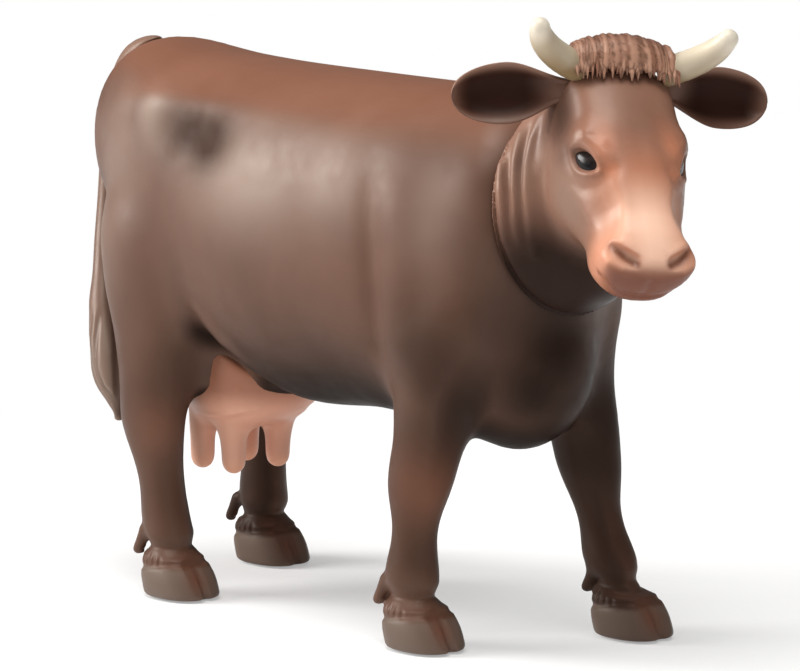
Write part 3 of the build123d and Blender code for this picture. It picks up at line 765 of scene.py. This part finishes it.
NOSE_RIDGE = ((-4.3, 20.5, 0.0), (-3.9, 25.0, -0.3), (-4.6, 30.0, -0.1))
CHEEK_CREST = ((-9.3, 19.8, -7.0), (-8.6, 24.0, -5.8), (-7.9, 28.0, -4.6))
NOSTRIL_RIM = ((-6.4, 31.2, -0.9), (-5.2, 32.2, -0.2), (-4.0, 33.2, 0.0), (-2.8, 34.2, 0.0))
NOSTRIL_WING = ((-7.4, 32.8, -2.6), (-6.7, 34.6, -2.2), (-5.0, 36.0, -2.0), (-3.0, 36.6, -2.0))
NOSTRIL = ((-6.2, 32.0, -1.1), (-5.4, 33.2, -0.6), (-4.4, 34.2, -0.5), (-3.3, 34.9, -0.5), (-2.6, 35.2, -0.6))
MOUTH = ((-7.6, 34.6, -6.4), (-6.5, 36.2, -6.1), (-4.7, 37.1, -6.8), (-2.1, 37.4, -7.3), (0.0, 37.4, -7.4))
MOUTH_STEPS = 25
MOUTH_CUT = np.interp(np.linspace(0.0, 4.0, MOUTH_STEPS), (0.0, 2.0, 4.0), (-0.1, -0.6, -0.8))
LIP_GROOVE = ((0.0, 36.6, -2.0), (0.0, 37.6, -5.0), (0.0, 37.6, -8.0))
BROW_FORMS = {
    "temple": (PAIR, (-10.2, 6.5, -5.4), (3.0, 4.5, 3.5), -0.8),
    "brow bone": (PAIR, (-7.9, 11.6, -2.0), (2.6, 2.2, 2.4), 0.8),
    "brow": (ON_SKIN, BROW, 1.3, (0.3, 0.7, 0.9, 0.4)),
}
FACE_FORMS = {
    "lid crease": (ON_SKIN, LID_CREASE, 0.6, (-0.1, -0.2, -0.25, -0.1)),
    "eye bag": (ON_SKIN, EYE_BAG, 1.1, (-0.15, -0.3, -0.3, -0.1)),
    "tear corner": (PAIR, (-5.2, 19.0, -0.3), (1.4, 1.4, 1.4), -0.5),
    "forehead dip": (SINGLE, (0.0, 15.0, 1.2), (3.0, 3.5, 2.0), -0.35),
    "nose side": (PAIR, NOSE_SIDE, 2.2, (-0.4, -0.9, -0.5)),
    "nose ridge": (PAIR, NOSE_RIDGE, 1.5, (0.2, 0.35, 0.3)),
    "cheek crest": (PAIR, CHEEK_CREST, 1.8, (0.2, 0.35, 0.1)),
    "cheek": (PAIR, (-9.6, 17.0, -12.5), (4.0, 6.0, 5.5), 0.5),
    "muzzle pad": (PAIR, (-6.4, 34.2, -3.2), (2.8, 2.8, 3.0), 0.7),
    "upper lip": (SINGLE, (0.0, 36.0, -1.4), (5.0, 2.0, 2.0), 0.3),
    "nostril rim": (ON_SKIN, NOSTRIL_RIM, 0.8, (0.2, 0.55, 0.55, 0.2)),
    "nostril wing": (ON_SKIN, NOSTRIL_WING, 1.0, (0.2, 0.6, 0.6, 0.1)),
    "nostril": (ON_SKIN, NOSTRIL, (0.4, 0.6, 0.75, 0.7, 0.45), (-0.5, -1.8, -2.6, -2.2, -0.6)),
    "mouth": (ON_SKIN, dense_line(MOUTH, MOUTH_STEPS), 0.5, MOUTH_CUT),
    "mouth corner": (PAIR, (-7.6, 35.6, -9.5), (3.6, 3.2, 4.0), -1.4),
    "chin": (SINGLE, (0.0, 37.0, -12.0), (6.0, 3.0, 2.5), -0.7),
    "lip groove": (SINGLE, LIP_GROOVE, 0.5, (-0.1, -0.3, -0.4)),
}
NECK_FOLDS = (
    ((-15.3, 6.2, -20.7), (-15.6, 10.5, -21.3), (-15.2, 14.3, -22.6), (-14.5, 17.6, -24.8)),
    (
        (-12.6, 2.7, -17.0), (-13.7, 6.9, -17.9), (-14.0, 11.5, -19.4),
        (-13.5, 15.8, -21.6), (-12.7, 18.4, -23.2),
    ),
    (
        (-10.3, 2.0, -12.8), (-11.7, 5.1, -14.6), (-12.5, 8.7, -16.3),
        (-12.6, 12.3, -17.9), (-11.8, 16.6, -20.0), (-10.2, 20.8, -23.6),
    ),
)
FOLD_RISE, FOLD_DIP = 0.9, 0.85
FOLD_WIDTH, VALLEY_WIDTH, JAW_WIDTH = 0.95, 0.85, 1.3
JAW_REAR = ((-10.8, 9.2, -11.2), (-10.8, 12.1, -15.1), (-10.0, 16.3, -17.6), (-8.3, 19.6, -19.6))
HEAD_SPOTS = {
    "brow": (((-5.6, 14.5, 0.0), (2.4, 4.0, 3.0), 0.8), ((-5.2, 18.6, -0.4), (2.0, 2.0, 2.0), 0.9)),
    # temple: painted shade on the temples
    "temple": (((-10.0, 5.5, -6.0), (3.5, 6.5, 4.0), 0.8), ((-10.5, 12.0, -6.0), (2.5, 3.0, 3.0), 0.5)),
    "cheek": (((-9.5, 20.0, -10.0), (4.0, 7.0, 7.0), 0.7), ((-12.0, 8.0, -17.0), (5.0, 8.0, 6.0), 0.6)),
    "lids": ((EYE_MIDDLE, (2.2, 2.2, 2.2), 0.5),),
}


def shape_eyelids(field):
    """The socket of each eye between its two lids."""
    shares = np.linspace(-1.0, 1.0, 9)[:, None]
    arch = (1 - shares**2) ** 0.8
    along = EYE_MIDDLE + EYE_SIZE[0] * LID_REACH * shares * EYE_LONG
    lines = [field.settled(along + rise * arch * EYE_RISE) for rise, _, _ in LIDS]
    socket = field.settled((EYE_MIDDLE,))[0]
    axes = EYE_LONG, EYE_RISE, EYE_FACING
    field.swell(socket, SOCKET_SIZE, SOCKET_DIP, axes, FACE)
    for line, (_, width, height) in zip(lines, LIDS):
        field.stroke(line, width, LID_EDGE + height * arch[:, 0], mirror=FACE)


def shape_neck(field):
    """The folds of the turned neck, the valleys between them and the hollow behind the jaw."""
    for fold in NECK_FOLDS:
        field.stroke(fold, FOLD_WIDTH, FOLD_RISE * np.sin(np.linspace(0.25, 0.85, len(fold)) * math.pi))
    for first, second in zip(NECK_FOLDS, NECK_FOLDS[1:]):
        count = min(len(first), len(second))
        valley = 0.5 * (np.array(first[:count]) + np.array(second[:count]))
        field.stroke(valley, VALLEY_WIDTH, -FOLD_DIP * np.sin(np.linspace(0.1, 0.95, count) * math.pi))
    field.stroke(JAW_REAR, JAW_WIDTH, (-0.3, -0.8, -0.8, -0.4))


def build_head():
    """The head and neck as one field, with the spigot behind the seam as it is."""
    field, spigot = (node_field("head", COARSE, HEAD_ROOM, HEAD_ROOM, True) for _ in range(2))
    field.close_up(HEAD_CLOSED)
    field.soften(HEAD_SOFT)
    muzzle = smoothstep(30.0, 36.0, field.everywhere()[1])
    field.values += (blurred(field.values, MUZZLE_SOFT / field.step) - field.values) * muzzle
    field.refine()
    field.model(BROW_FORMS, FACE)
    shape_eyelids(field)
    field.model(FACE_FORMS, FACE)
    shape_neck(field)
    spigot.refine()
    middle, normal = to_head(SEAM_MIDDLE), HEAD_AXES @ SEAM_NORMAL
    ahead = sum((cell - place) * part for cell, place, part in zip(field.everywhere(), middle, normal))
    field.cut_with(HEAD_SIDE_GAP - ahead)
    spigot.cut_with(ahead - HEAD_SIDE_GAP - OVERLAP)
    field.values = np.minimum(field.values, spigot.values)
    return field


def head_masks(points, outward):
    """Peach paint, painted highlight on the nose, painted shade on temples, throat and muzzle, reddish
    nostrils.
    """
    x, y, z = points.T
    wide = np.abs(x)
    even = np.stack((-wide, y, z), 1)
    found = {name: spots(even, rows) for name, rows in HEAD_SPOTS.items()}
    bridge = np.exp(-((wide / 6.5) ** 2)) * smoothstep(10.0, 22.0, y) * smoothstep(-9.0, -2.0, z)
    # front: painted shade on the forward-facing end of the muzzle
    front = smoothstep(0.25, 0.9, outward[:, 1]) * smoothstep(33.0, 35.5, y)
    # throat: painted shade under the jaw and on faces turned back towards the neck
    throat = smoothstep(-13.5, -22.0, z) * smoothstep(9.0, 21.0, y)
    throat = throat + 0.5 * smoothstep(0.2, 0.9, -outward[:, 2]) * smoothstep(16.0, 24.0, y)
    nostril = 0.95 * near_line(even, np.array(NOSTRIL) + (0.0, 0.2, -0.6), 0.85)
    mouth = 0.75 * near_line(even, head_field.settled(MOUTH), 0.75)
    nose = np.exp(-((wide / 5.0) ** 2)) * smoothstep(18.0, 28.0, y)
    return {
        "cheek": found["cheek"],
        "peach": np.maximum(bridge * 0.9, found["brow"]),
        "muzzle": smoothstep(24.0, 32.0, y + 0.25 * z) * smoothstep(-17.0, -8.0, z),
        # pale: painted highlight on the top of the nose
        "pale": nose * smoothstep(0.1, 0.8, outward[:, 2]),
        "front": 0.55 * front,
        "dark": np.maximum(found["temple"], np.clip(throat, 0.0, 1.0)),
        "lids": found["lids"],
        # blush: dark reddish paint in the nostrils and mouth line, and painted shade low on the front of the
        # muzzle
        "blush": np.maximum.reduce((nostril, mouth, smoothstep(1.0, -3.0, z) * front)),
    }


head_layers = {
    "cheek": (132, 106, 92),
    "peach": (186, 120, 90),
    "muzzle": (196, 134, 106),
    # painted highlight on the nose
    "pale": (244, 198, 172),
    # painted shade on the front of the muzzle
    "front": (170, 112, 86),
    # painted shade on the temples and throat
    "dark": (44, 30, 25),
    "lids": (96, 66, 54),
    # dark reddish paint, and painted shade low on the muzzle front
    "blush": (108, 60, 42),
}
head_paint = satin("head_paint", (128, 90, 73), (140, 100, 82), head_layers, 0.4, ("dark",))
head_field = build_head()
field_piece("head", head_field, head_paint, "head", head_masks, on_head=True)


# Eyes: a domed almond between the lids, its stem in the socket
EYE_AROUND, EYE_RINGS = 48, 20
EYE_STEM, EYE_PINCH = 2.0, 0.18
EYE_MOTTLE, EYE_ROUGHNESS, EYE_SHINE = 420.0, 0.22, 0.3


def eye_points(side):
    """The rings of one eye from its stem to the top of the dome."""
    middle = head_field.settled((EYE_MIDDLE,))[0]
    turns = full_turn(EYE_AROUND)
    pinch = 1.0 - EYE_PINCH * np.abs(np.cos(turns)) ** 3
    rows = []
    for ring in range(EYE_RINGS + 1):
        rise = -0.5 * math.pi + math.pi * ring / EYE_RINGS
        wide = max(math.cos(rise), 0.0)
        deep = math.sin(rise) * (EYE_SIZE[2] if rise > 0 else EYE_STEM)
        along = EYE_SIZE[0] * wide * np.cos(turns)
        over = EYE_SIZE[1] * wide * np.sin(turns) * pinch
        rows.append(middle + along[:, None] * EYE_LONG + over[:, None] * EYE_RISE + deep * EYE_FACING)
    points = np.concatenate(rows)
    points[:, 0] *= -side
    return from_head(points)


def eye_gloss():
    """Gloss black with a dark brown iris that shows through."""
    material, tree, shader, coordinates = new_material("eye_gloss")
    depth = ranged(tree, noise_value(tree, coordinates, EYE_MOTTLE, 3.0), 0.0, 1.0)
    tree.links.new(mix_colour(tree, depth, srgb(14, 12, 13), srgb(44, 34, 31)), shader.inputs["Base Color"])
    shader.inputs["Roughness"].default_value = EYE_ROUGHNESS
    shader.inputs["Specular IOR Level"].default_value = EYE_SHINE
    return material


eye_material = eye_gloss()
for name, side in (("eye_right", -1), ("eye_left", 1)):
    ring_piece(name, eye_points(side), EYE_AROUND, side < 0, eye_material)


# Horns: swept along a curve, blunt at the tip, each with its own lean, painted shade on its underside and its
# own darkening
HORN_SETBACK, HORN_HALF_SPREAD = 2.0, 8.7
HORN_REACH, HORN_FORWARD, HORN_RISE = 7.0, 7.0, 6.8
HORN_ROWS = ((-0.16, 2.35), (0.0, 2.4), (0.2, 2.35), (0.45, 2.2), (0.7, 2.0), (0.9, 1.7), (1.0, 1.55))
HORN_LEAN = {-1: 1.0, 1: 0.98}
# How much darker each horn is all over
HORN_DARKENING = {-1: 0.3, 1: 0.1}
HORN_AROUND, HORN_STEPS, TIP_STEPS = 32, 40, 9
RIPPLE, RIPPLE_TURNS, RIPPLE_END = 0.012, 60.0, 0.4


def horn_points(side):
    """The rings of one horn from its root to its tip, and each ring's place along it."""
    base = POLL - HEADING * HORN_SETBACK + HEAD_LEFT * side * HORN_HALF_SPREAD
    out = HEAD_LEFT * side * HORN_REACH
    rise = np.array((0.0, 0.0, HORN_RISE))
    middle = base + 0.66 * out + 0.4 * HORN_FORWARD * HEADING + 0.4 * rise
    tip = base + out * HORN_LEAN[side] + 0.9 * HORN_FORWARD * HEADING + 0.86 * rise
    shares, widths = zip(*HORN_ROWS)
    places = np.linspace(shares[0], 1.0, HORN_STEPS)
    rows = []
    for place in places:
        radius = np.interp(place, shares, widths)
        radius *= 1.0 + RIPPLE * math.sin(place * RIPPLE_TURNS) * max(0.0, 1.0 - place / RIPPLE_END)
        rows.append(horn_ring(*horn_curve(base, middle, tip, place), radius))
    centre, along = horn_curve(base, middle, tip, 1.0)
    for step in range(1, TIP_STEPS + 1):
        bend = 0.5 * math.pi * step / (TIP_STEPS + 0.3)
        place = centre + along * widths[-1] * math.sin(bend)
        rows.append(horn_ring(place, along, widths[-1] * math.cos(bend)))
    marks = np.concatenate((places, 1.0 + 0.1 * np.arange(1, TIP_STEPS + 1) / TIP_STEPS))
    return np.concatenate(rows), np.repeat(marks, HORN_AROUND)


def horn_curve(base, middle, tip, place):
    """A point on the curve through three places, and its direction there."""
    a = 2 * (base + tip - 2 * middle)
    b = tip - base - a
    return base + b * place + a * place**2, unit(b + 2 * a * place)


def horn_ring(centre, along, radius):
    """Points round the curve."""
    side = unit(np.cross(along, (0.0, 0.3, 1.0)))
    over = np.cross(along, side)
    turns = full_turn(HORN_AROUND)
    return centre + radius * (np.cos(turns)[:, None] * side + np.sin(turns)[:, None] * over)


# stain: painted shade on the underside and darker towards the root
horn_layers = {"shade_and_darkening": (138, 116, 84), "tip": (218, 208, 190)}
horn_paint = satin("horn_paint", (198, 184, 160), (212, 200, 178), horn_layers, 0.36)
for name, side in (("horn_right", -1), ("horn_left", 1)):
    points, marks = horn_points(side)
    piece = ring_piece(name, points, HORN_AROUND, False, horn_paint)
    middles = points.reshape(-1, HORN_AROUND, 3).mean(1).repeat(HORN_AROUND, 0)
    # stain: painted shade on the underside of each horn, and darker towards the root
    below = smoothstep(0.0, 1.0, (middles - points)[:, 2] / 2.6)
    shade_and_darkening = 0.75 * below * smoothstep(1.0, 0.2, marks) + 0.5 * smoothstep(0.2, -0.05, marks)
    store(piece, {"shade_and_darkening": shade_and_darkening + HORN_DARKENING[side], "tip": smoothstep(0.7, 1.05, marks)})


# Ears: a cupped leaf with a rolled rim, its stalk in the side of the head
EAR_LENGTH, EAR_WIDTH, EAR_SPREAD = 17.6, 9.8, 8.5
EAR_SWEEP = {-1: 0.16, 1: -0.06}
EAR_DROOP = {-1: 0.12, 1: 0.06}
EAR_PLACE = {-1: (0.5, -6.4), 1: (-0.3, -6.0)}
EAR_STALK, EAR_WIDEST = -0.16, 0.52
EAR_CUP, EAR_BOW = 2.9, 1.6
EAR_AROUND, EAR_STEPS = 64, 56


def ear_points(side):
    """The rings of one ear from its stalk to its tip, with masks for painted shade in the hollow and a
    painted highlight on the rim.
    """
    root = from_head((side * EAR_SPREAD, *EAR_PLACE[side]))
    sweep, droop = EAR_SWEEP[side], EAR_DROOP[side]
    out = unit(HEAD_LEFT * side - HEADING * sweep - HEAD_UP * droop)
    facing = HEADING + HEAD_LEFT * side * sweep
    facing = unit(facing - out * (facing @ out))
    upward = np.cross(facing, out) * side
    turns = full_turn(EAR_AROUND)
    across, front = np.cos(turns), np.sin(turns)
    stalk = np.linspace(EAR_STALK, EAR_WIDEST, EAR_STEPS // 2, endpoint=False)
    bends = np.radians(np.linspace(0.0, 87.0, EAR_STEPS - EAR_STEPS // 2))
    places = np.concatenate((stalk, EAR_WIDEST + (1 - EAR_WIDEST) * np.sin(bends)))
    halves = np.concatenate((0.3 + 0.7 * smoothstep(-0.12, EAR_WIDEST, stalk), np.cos(bends) ** 0.9))
    rows, hollow, rim = [], [], []
    for place, half in zip(places, 0.5 * EAR_WIDTH * halves):
        cup = smoothstep(0.0, 0.35, place) * smoothstep(1.02, 0.8, place)
        thick = np.interp(place, (0.0, 0.25, 0.9, 1.0), (2.0, 1.05, 0.7, 0.4))
        rolled = thick * (0.75 + 0.5 * smoothstep(0.55, 0.9, np.abs(across)))
        sag = -EAR_CUP * cup * (1 - np.abs(across) ** 2.2) + 0.7 * cup
        lift = sag + np.sign(front) * rolled * np.abs(front) ** 0.6
        bow = -EAR_BOW * max(place, 0.0) ** 2
        rise = upward * (half * across - 0.35 * place)[:, None]
        rows.append(root + out * EAR_LENGTH * place + rise + facing * (lift + bow + 0.2)[:, None])
        # hollow: painted shade inside the cup of the ear
        hollow.append(cup * smoothstep(-0.1, 0.4, front) * smoothstep(1.0, 0.55, np.abs(across)))
        # rim: painted highlight along the upper edge of the ear
        rim.append(smoothstep(0.5, 0.95, across) * smoothstep(0.05, 0.3, place))
    return np.concatenate(rows), np.concatenate(hollow), np.concatenate(rim)


# rim: painted highlight on the upper edge, hollow: painted shade in the cup
ear_layers = {"rim": (136, 102, 86), "hollow": (48, 27, 21)}
ear_paint = satin("ear_paint", (96, 65, 53), (108, 75, 61), ear_layers, 0.44, ("hollow",))
for name, side in (("ear_right", -1), ("ear_left", 1)):
    points, hollow, rim = ear_points(side)
    piece = ring_piece(name, points, EAR_AROUND, side > 0, ear_paint)
    store(piece, {"hollow": hollow, "rim": rim})


# Hair tuft: three rows of locks combed from the crown down over the forehead
TUFT_STEP, TUFT_THIN, TUFT_ROOM = 0.16, 0.02, (2.0, 5.0, 3.0)
TUFT_MIDDLE = np.array((0.0, -2.0, -2.2))
TUFT_UP, TUFT_FORWARD = np.array((0.0, -0.788, 0.616)), np.array((0.0, 0.616, 0.788))
TUFT_ROUND, TUFT_HALF_WIDTH, TUFT_UNDERCUT, TUFT_SOFT = 3.9, 8.6, 0.8, 0.5
LOCKS, LOCK_LIFTS = 25, (0.15, 0.5, 0.3)
LOCK_BLEND = 0.12
LOCK_TAPER = np.array((0.6, 0.8, 1.0, 1.0, 1.0, 1.0, 1.0, 0.95, 0.85, 0.65, 0.2))
chance = np.random.default_rng(11)


def lock_lines():
    """The line, radii and shade of each lock, the under row first."""
    lines = []
    for row, lift in enumerate(LOCK_LIFTS):
        for number in range(LOCKS):
            share = (number + 0.5 * (row % 2) + chance.uniform(-0.25, 0.25)) / (LOCKS - 1) * 2 - 1
            share = float(np.clip(share, -0.92, 0.92))
            radius = TUFT_ROUND * math.sqrt(1 - (0.88 * share) ** 2) + lift
            turns = np.linspace(-96.0 + 20.0 * (row == 2), 84.0, 9) + chance.uniform(-4.0, 4.0)
            turns = np.radians(turns)[:, None]
            line = TUFT_MIDDLE + radius * (np.cos(turns) * TUFT_UP + np.sin(turns) * TUFT_FORWARD)
            line[:, 0] = TUFT_HALF_WIDTH * share * (0.9 + 0.14 * np.linspace(0.0, 1.0, 9) ** 1.5)
            aside, down = 9.0 * share + chance.uniform(-0.5, 0.5), chance.uniform(0.5, 2.9)
            end = np.array((aside, down, 0.7 - 1.4 * share**2))
            line = np.concatenate((line, (0.45 * line[-1] + 0.55 * end + (0, 0, 0.3), end)))
            line[:, 0] += 0.42 * np.sin(np.linspace(0.0, 4.0, 11) + chance.uniform(0.0, 6.0))
            lines.append((line, chance.uniform(0.36, 0.64) * LOCK_TAPER, chance.uniform(0.0, 1.0)))
    return lines


LOCK_LINES = lock_lines()


def build_tuft():
    """The cap under the locks, then every lock."""
    field = node_field("poll_tuft", TUFT_STEP, 2.0, TUFT_ROOM, True)
    field.soften(TUFT_SOFT)
    field.values += TUFT_UNDERCUT
    for line, radii, _ in LOCK_LINES:
        field.tube(line, radii, LOCK_BLEND)
    return field


def tuft_masks(points, outward):
    """Each lock's own tone, and painted shade between locks."""
    nearest, next_nearest = np.full((2, len(points)), FAR)
    shades = np.zeros(len(points))
    for line, radii, shade in LOCK_LINES:
        marks = np.linspace(0.0, len(line) - 1.0, 4 * len(line))
        gap = line_gap(points, line, np.interp(marks, np.arange(len(line)), radii))
        closer = gap < nearest
        next_nearest = np.where(closer, nearest, np.minimum(next_nearest, gap))
        shades = np.where(closer, shade, shades)
        nearest = np.minimum(nearest, gap)
    # crease and gap: painted shade where locks meet and between them
    crease = 0.6 * smoothstep(0.14, 0.0, next_nearest - nearest)
    return {
        "streak": shades * 0.9,
        "back": 0.7 * smoothstep(-1.0, -6.0, points[:, 1]),
        "gap": np.maximum(crease, smoothstep(0.12, 0.7, nearest)),
    }


# gap: painted shade between the locks
tuft_layers = {"streak": (190, 146, 122), "back": (96, 60, 47), "gap": (50, 30, 22)}
tuft_paint = satin("tuft_paint", (128, 86, 67), (144, 100, 80), tuft_layers, 0.44, ("gap",))
field_piece("poll_tuft", build_tuft(), tuft_paint, "head", tuft_masks, True, TUFT_THIN)


# Udder: the bag and teats run into each other, with a fold along each side
UDDER_FOLD = (
    (-43.5, -8.3, 30.4), (-40.0, -8.8, 30.6), (-37.0, -9.2, 30.6), (-33.0, -8.6, 31.2), (-28.0, -5.0, 32.6)
)
UDDER_FILL, UDDER_SOFT = 1.4, 0.7
UDDER_MIDDLE = ((-44.0, 0.0, 25.0), (-36.0, 0.0, 22.5), (-27.0, 0.0, 27.0))


def build_udder():
    """The udder as a field."""
    field = node_field("udder", COARSE, 3.0, 2.0)
    field.fill_creases(UDDER_FILL)
    field.soften(UDDER_SOFT)
    field.refine()
    field.swell((-37.0, -6.5, 30.0), (9.0, 5.0, 3.8), 1.0, mirror=SIDE)
    fold = field.settled(UDDER_FOLD)
    field.stroke(fold, 0.55, (0.1, 0.4, 0.45, 0.4, 0.1), mirror=SIDE)
    field.stroke(fold - (0.0, 0.0, 1.2), 0.8, (-0.1, -0.4, -0.45, -0.4, -0.1), mirror=SIDE)
    field.stroke(UDDER_MIDDLE, 1.0, (-0.3, -0.6, -0.3))
    return field


def udder_masks(points, outward):
    """Browner against the belly, pinker at the teats."""
    z = points[:, 2]
    return {
        "brown": smoothstep(31.0, 36.0, z),
        "shade": smoothstep(0.2, 0.95, -outward[:, 2]) * 0.5 * smoothstep(20.0, 26.0, z),
        "teat": smoothstep(23.5, 20.5, z) * 0.7,
    }


udder_layers = {"brown": (150, 98, 76), "shade": (190, 128, 104), "teat": (220, 158, 128)}
udder_paint = satin("udder_paint", (208, 150, 126), (218, 164, 140), udder_layers, 0.42)
field_piece("udder", build_udder(), udder_paint, "body", udder_masks)


# Tail: a cord that ends in a grooved switch of hair
TAIL_STEP, TAIL_SOFT = 0.4, 0.45
SWITCH_TOP, SWITCH_FULLNESS = 47.0, 0.5
GROOVES, GROOVE_POINTS, GROOVE_WIDTH = 12, 12, 0.55


def build_tail():
    """The tail as a field, and the lines of the grooves in its switch."""
    field = node_field("tail", TAIL_STEP, 2.0, 2.0)
    field.soften(TAIL_SOFT)
    field.refine()
    z = field.everywhere()[2]
    field.values -= (SWITCH_FULLNESS * smoothstep(SWITCH_TOP, SWITCH_TOP - 8.0, z)).astype(np.float32)
    points = node_mesh("tail")[0]
    lower = points[points[:, 2] < SWITCH_TOP]
    depths = -0.8 * np.sin(np.linspace(0.15, 1.0, GROOVE_POINTS) * math.pi) - 0.05
    grooves = []
    for number in range(GROOVES):
        turn = 2 * math.pi * (number + 0.3 * math.sin(number * 2.4)) / GROOVES
        line = []
        for height in np.linspace(lower[:, 2].min() + 0.5, SWITCH_TOP, GROOVE_POINTS):
            near = lower[np.abs(lower[:, 2] - height) < 2.0]
            middle = near.mean(0)
            reach = np.abs(near - middle).max(0)
            sway = turn + 0.25 * math.sin(height * 0.2 + number)
            x, y = middle[:2] + reach[:2] * (math.cos(sway), math.sin(sway))
            line.append((x, y, height))
        grooves.append(field.settled(line))
        field.stroke(grooves[-1], GROOVE_WIDTH, depths)
    return field, grooves


tail_field, SWITCH_GROOVES = build_tail()


def tail_masks(points, outward):
    """Greyer along the cord, paler on the switch and darker with painted shade in its grooves."""
    z = points[:, 2]
    switch = smoothstep(48.0, 40.0, z)
    # groove: painted shade in the grooves of the switch
    groove = np.max([near_line(points, line, 0.4) for line in SWITCH_GROOVES], axis=0)
    return {"switch": switch * 0.8, "root": smoothstep(74.0, 84.0, z), "groove": groove * switch}


# groove: painted shade in the grooves
tail_layers = {"switch": (122, 102, 90), "root": (120, 92, 78), "groove": (54, 39, 32)}
tail_paint = satin("tail_paint", (104, 80, 68), (120, 95, 82), tail_layers, 0.4, ("groove",))
field_piece("tail", tail_field, tail_paint, "body", tail_masks)


# Stage, light and camera, in metres
FLOOR_HALF, FLOOR_DROP = 6.0, 0.0002
PAPER_DARK, PAPER_LIGHT = (0.93, 0.93, 0.93, 1.0), (0.97, 0.97, 0.97, 1.0)
PAPER_TOOTH, PAPER_ROUGHNESS, PAPER_SHINE = 400.0, 0.9, 0.1
WHITE = (1.0, 1.0, 1.0, 1.0)
NEAR_WHITE, FADE_START, FADE_END = 0.35, 0.06, 0.22
WORLD_LEVEL = 0.17
LAMP_AIM = (0.0, 0.0, 0.05)
LAMPS = (
    ("key_left", (-0.55, -0.50, 0.42), (0.42, 0.42), 7.6, (1.0, 0.99, 0.97)),
    ("top", (0.12, -0.18, 0.95), (0.60, 0.60), 8.6, (1.0, 0.99, 0.97)),
    ("front_fill", (0.80, -0.45, 0.40), (0.50, 0.50), 0.8, (1.0, 1.0, 1.0)),
)
CAMERA_PLACE, CAMERA_AIM = (0.6395, -0.6121, 0.1826), (-0.00427, 0.00214, 0.04682)
CAMERA_LENS, CAMERA_SENSOR, CAMERA_CLIP = 242.6, 36.0, (0.05, 20.0)


def aimed(name, data, place, aim):
    """A lamp or camera at a place, turned to look at another."""
    holder = bpy.data.objects.new(name, data)
    holder.location = place
    holder.rotation_euler = (Vector(aim) - Vector(place)).to_track_quat("-Z", "Y").to_euler()
    bpy.context.scene.collection.objects.link(holder)
    return holder


def seen_directly(tree):
    """1 for rays from the camera, off gloss or through glass, 0 for the rest."""
    path = tree.nodes.new("ShaderNodeLightPath")
    total = path.outputs["Is Camera Ray"]
    for other in ("Is Glossy Ray", "Is Transmission Ray"):
        total = combined(tree, "MAXIMUM", total, path.outputs[other])
    return total


def floor_paper():
    """White paper that fades to plain white away from the object, where it is seen directly."""
    paper, tree, shader, coordinates = new_material("floor_paper")
    shader.inputs["Roughness"].default_value = PAPER_ROUGHNESS
    shader.inputs["Specular IOR Level"].default_value = PAPER_SHINE
    tooth = noise_value(tree, coordinates, PAPER_TOOTH, 4.0)
    tree.links.new(mix_colour(tree, tooth, PAPER_DARK, PAPER_LIGHT), shader.inputs["Base Color"])
    far = tree.nodes.new("ShaderNodeVectorMath")
    far.operation = "LENGTH"
    tree.links.new(coordinates, far.inputs[0])
    fade = ranged(tree, far.outputs["Value"], NEAR_WHITE, 1.0, FADE_START, FADE_END)
    glow = tree.nodes.new("ShaderNodeEmission")
    glow.inputs["Color"].default_value = WHITE
    glow.inputs["Strength"].default_value = 1.0
    blend = tree.nodes.new("ShaderNodeMixShader")
    tree.links.new(combined(tree, "MULTIPLY", fade, seen_directly(tree)), blend.inputs["Fac"])
    tree.links.new(shader.outputs["BSDF"], blend.inputs[1])
    tree.links.new(glow.outputs["Emission"], blend.inputs[2])
    tree.links.new(blend.outputs["Shader"], tree.nodes["Material Output"].inputs["Surface"])
    return paper


def lay_floor():
    """A pale floor under the hooves."""
    mesh = bpy.data.meshes.new("floor")
    corners = [(x * FLOOR_HALF, y * FLOOR_HALF, 0) for x, y in ((-1, -1), (1, -1), (1, 1), (-1, 1))]
    mesh.from_pydata(corners, [], [(0, 1, 2, 3)])
    mesh.materials.append(floor_paper())
    floor = bpy.data.objects.new("floor", mesh)
    floor.location.z = -FLOOR_DROP
    bpy.context.scene.collection.objects.link(floor)


def light_and_camera():
    """Soft studio light, and the camera at the photo's angle."""
    scene = bpy.context.scene
    scene.view_settings.view_transform = "Standard"
    scene.world = bpy.data.worlds.new("studio")
    scene.world.use_nodes = True
    background = scene.world.node_tree.nodes["Background"]
    background.inputs["Color"].default_value = WHITE
    background.inputs["Strength"].default_value = WORLD_LEVEL
    for name, place, size, power, colour in LAMPS:
        lamp = bpy.data.lights.new(name, "AREA")
        lamp.shape = "RECTANGLE"
        lamp.size, lamp.size_y = size
        lamp.energy = power
        lamp.color = colour
        aimed(name, lamp, place, LAMP_AIM)
    view = bpy.data.cameras.new("camera")
    view.sensor_width = CAMERA_SENSOR
    view.lens = CAMERA_LENS
    view.clip_start, view.clip_end = CAMERA_CLIP
    scene.camera = aimed("camera", view, CAMERA_PLACE, CAMERA_AIM)


lay_floor()
light_and_camera()
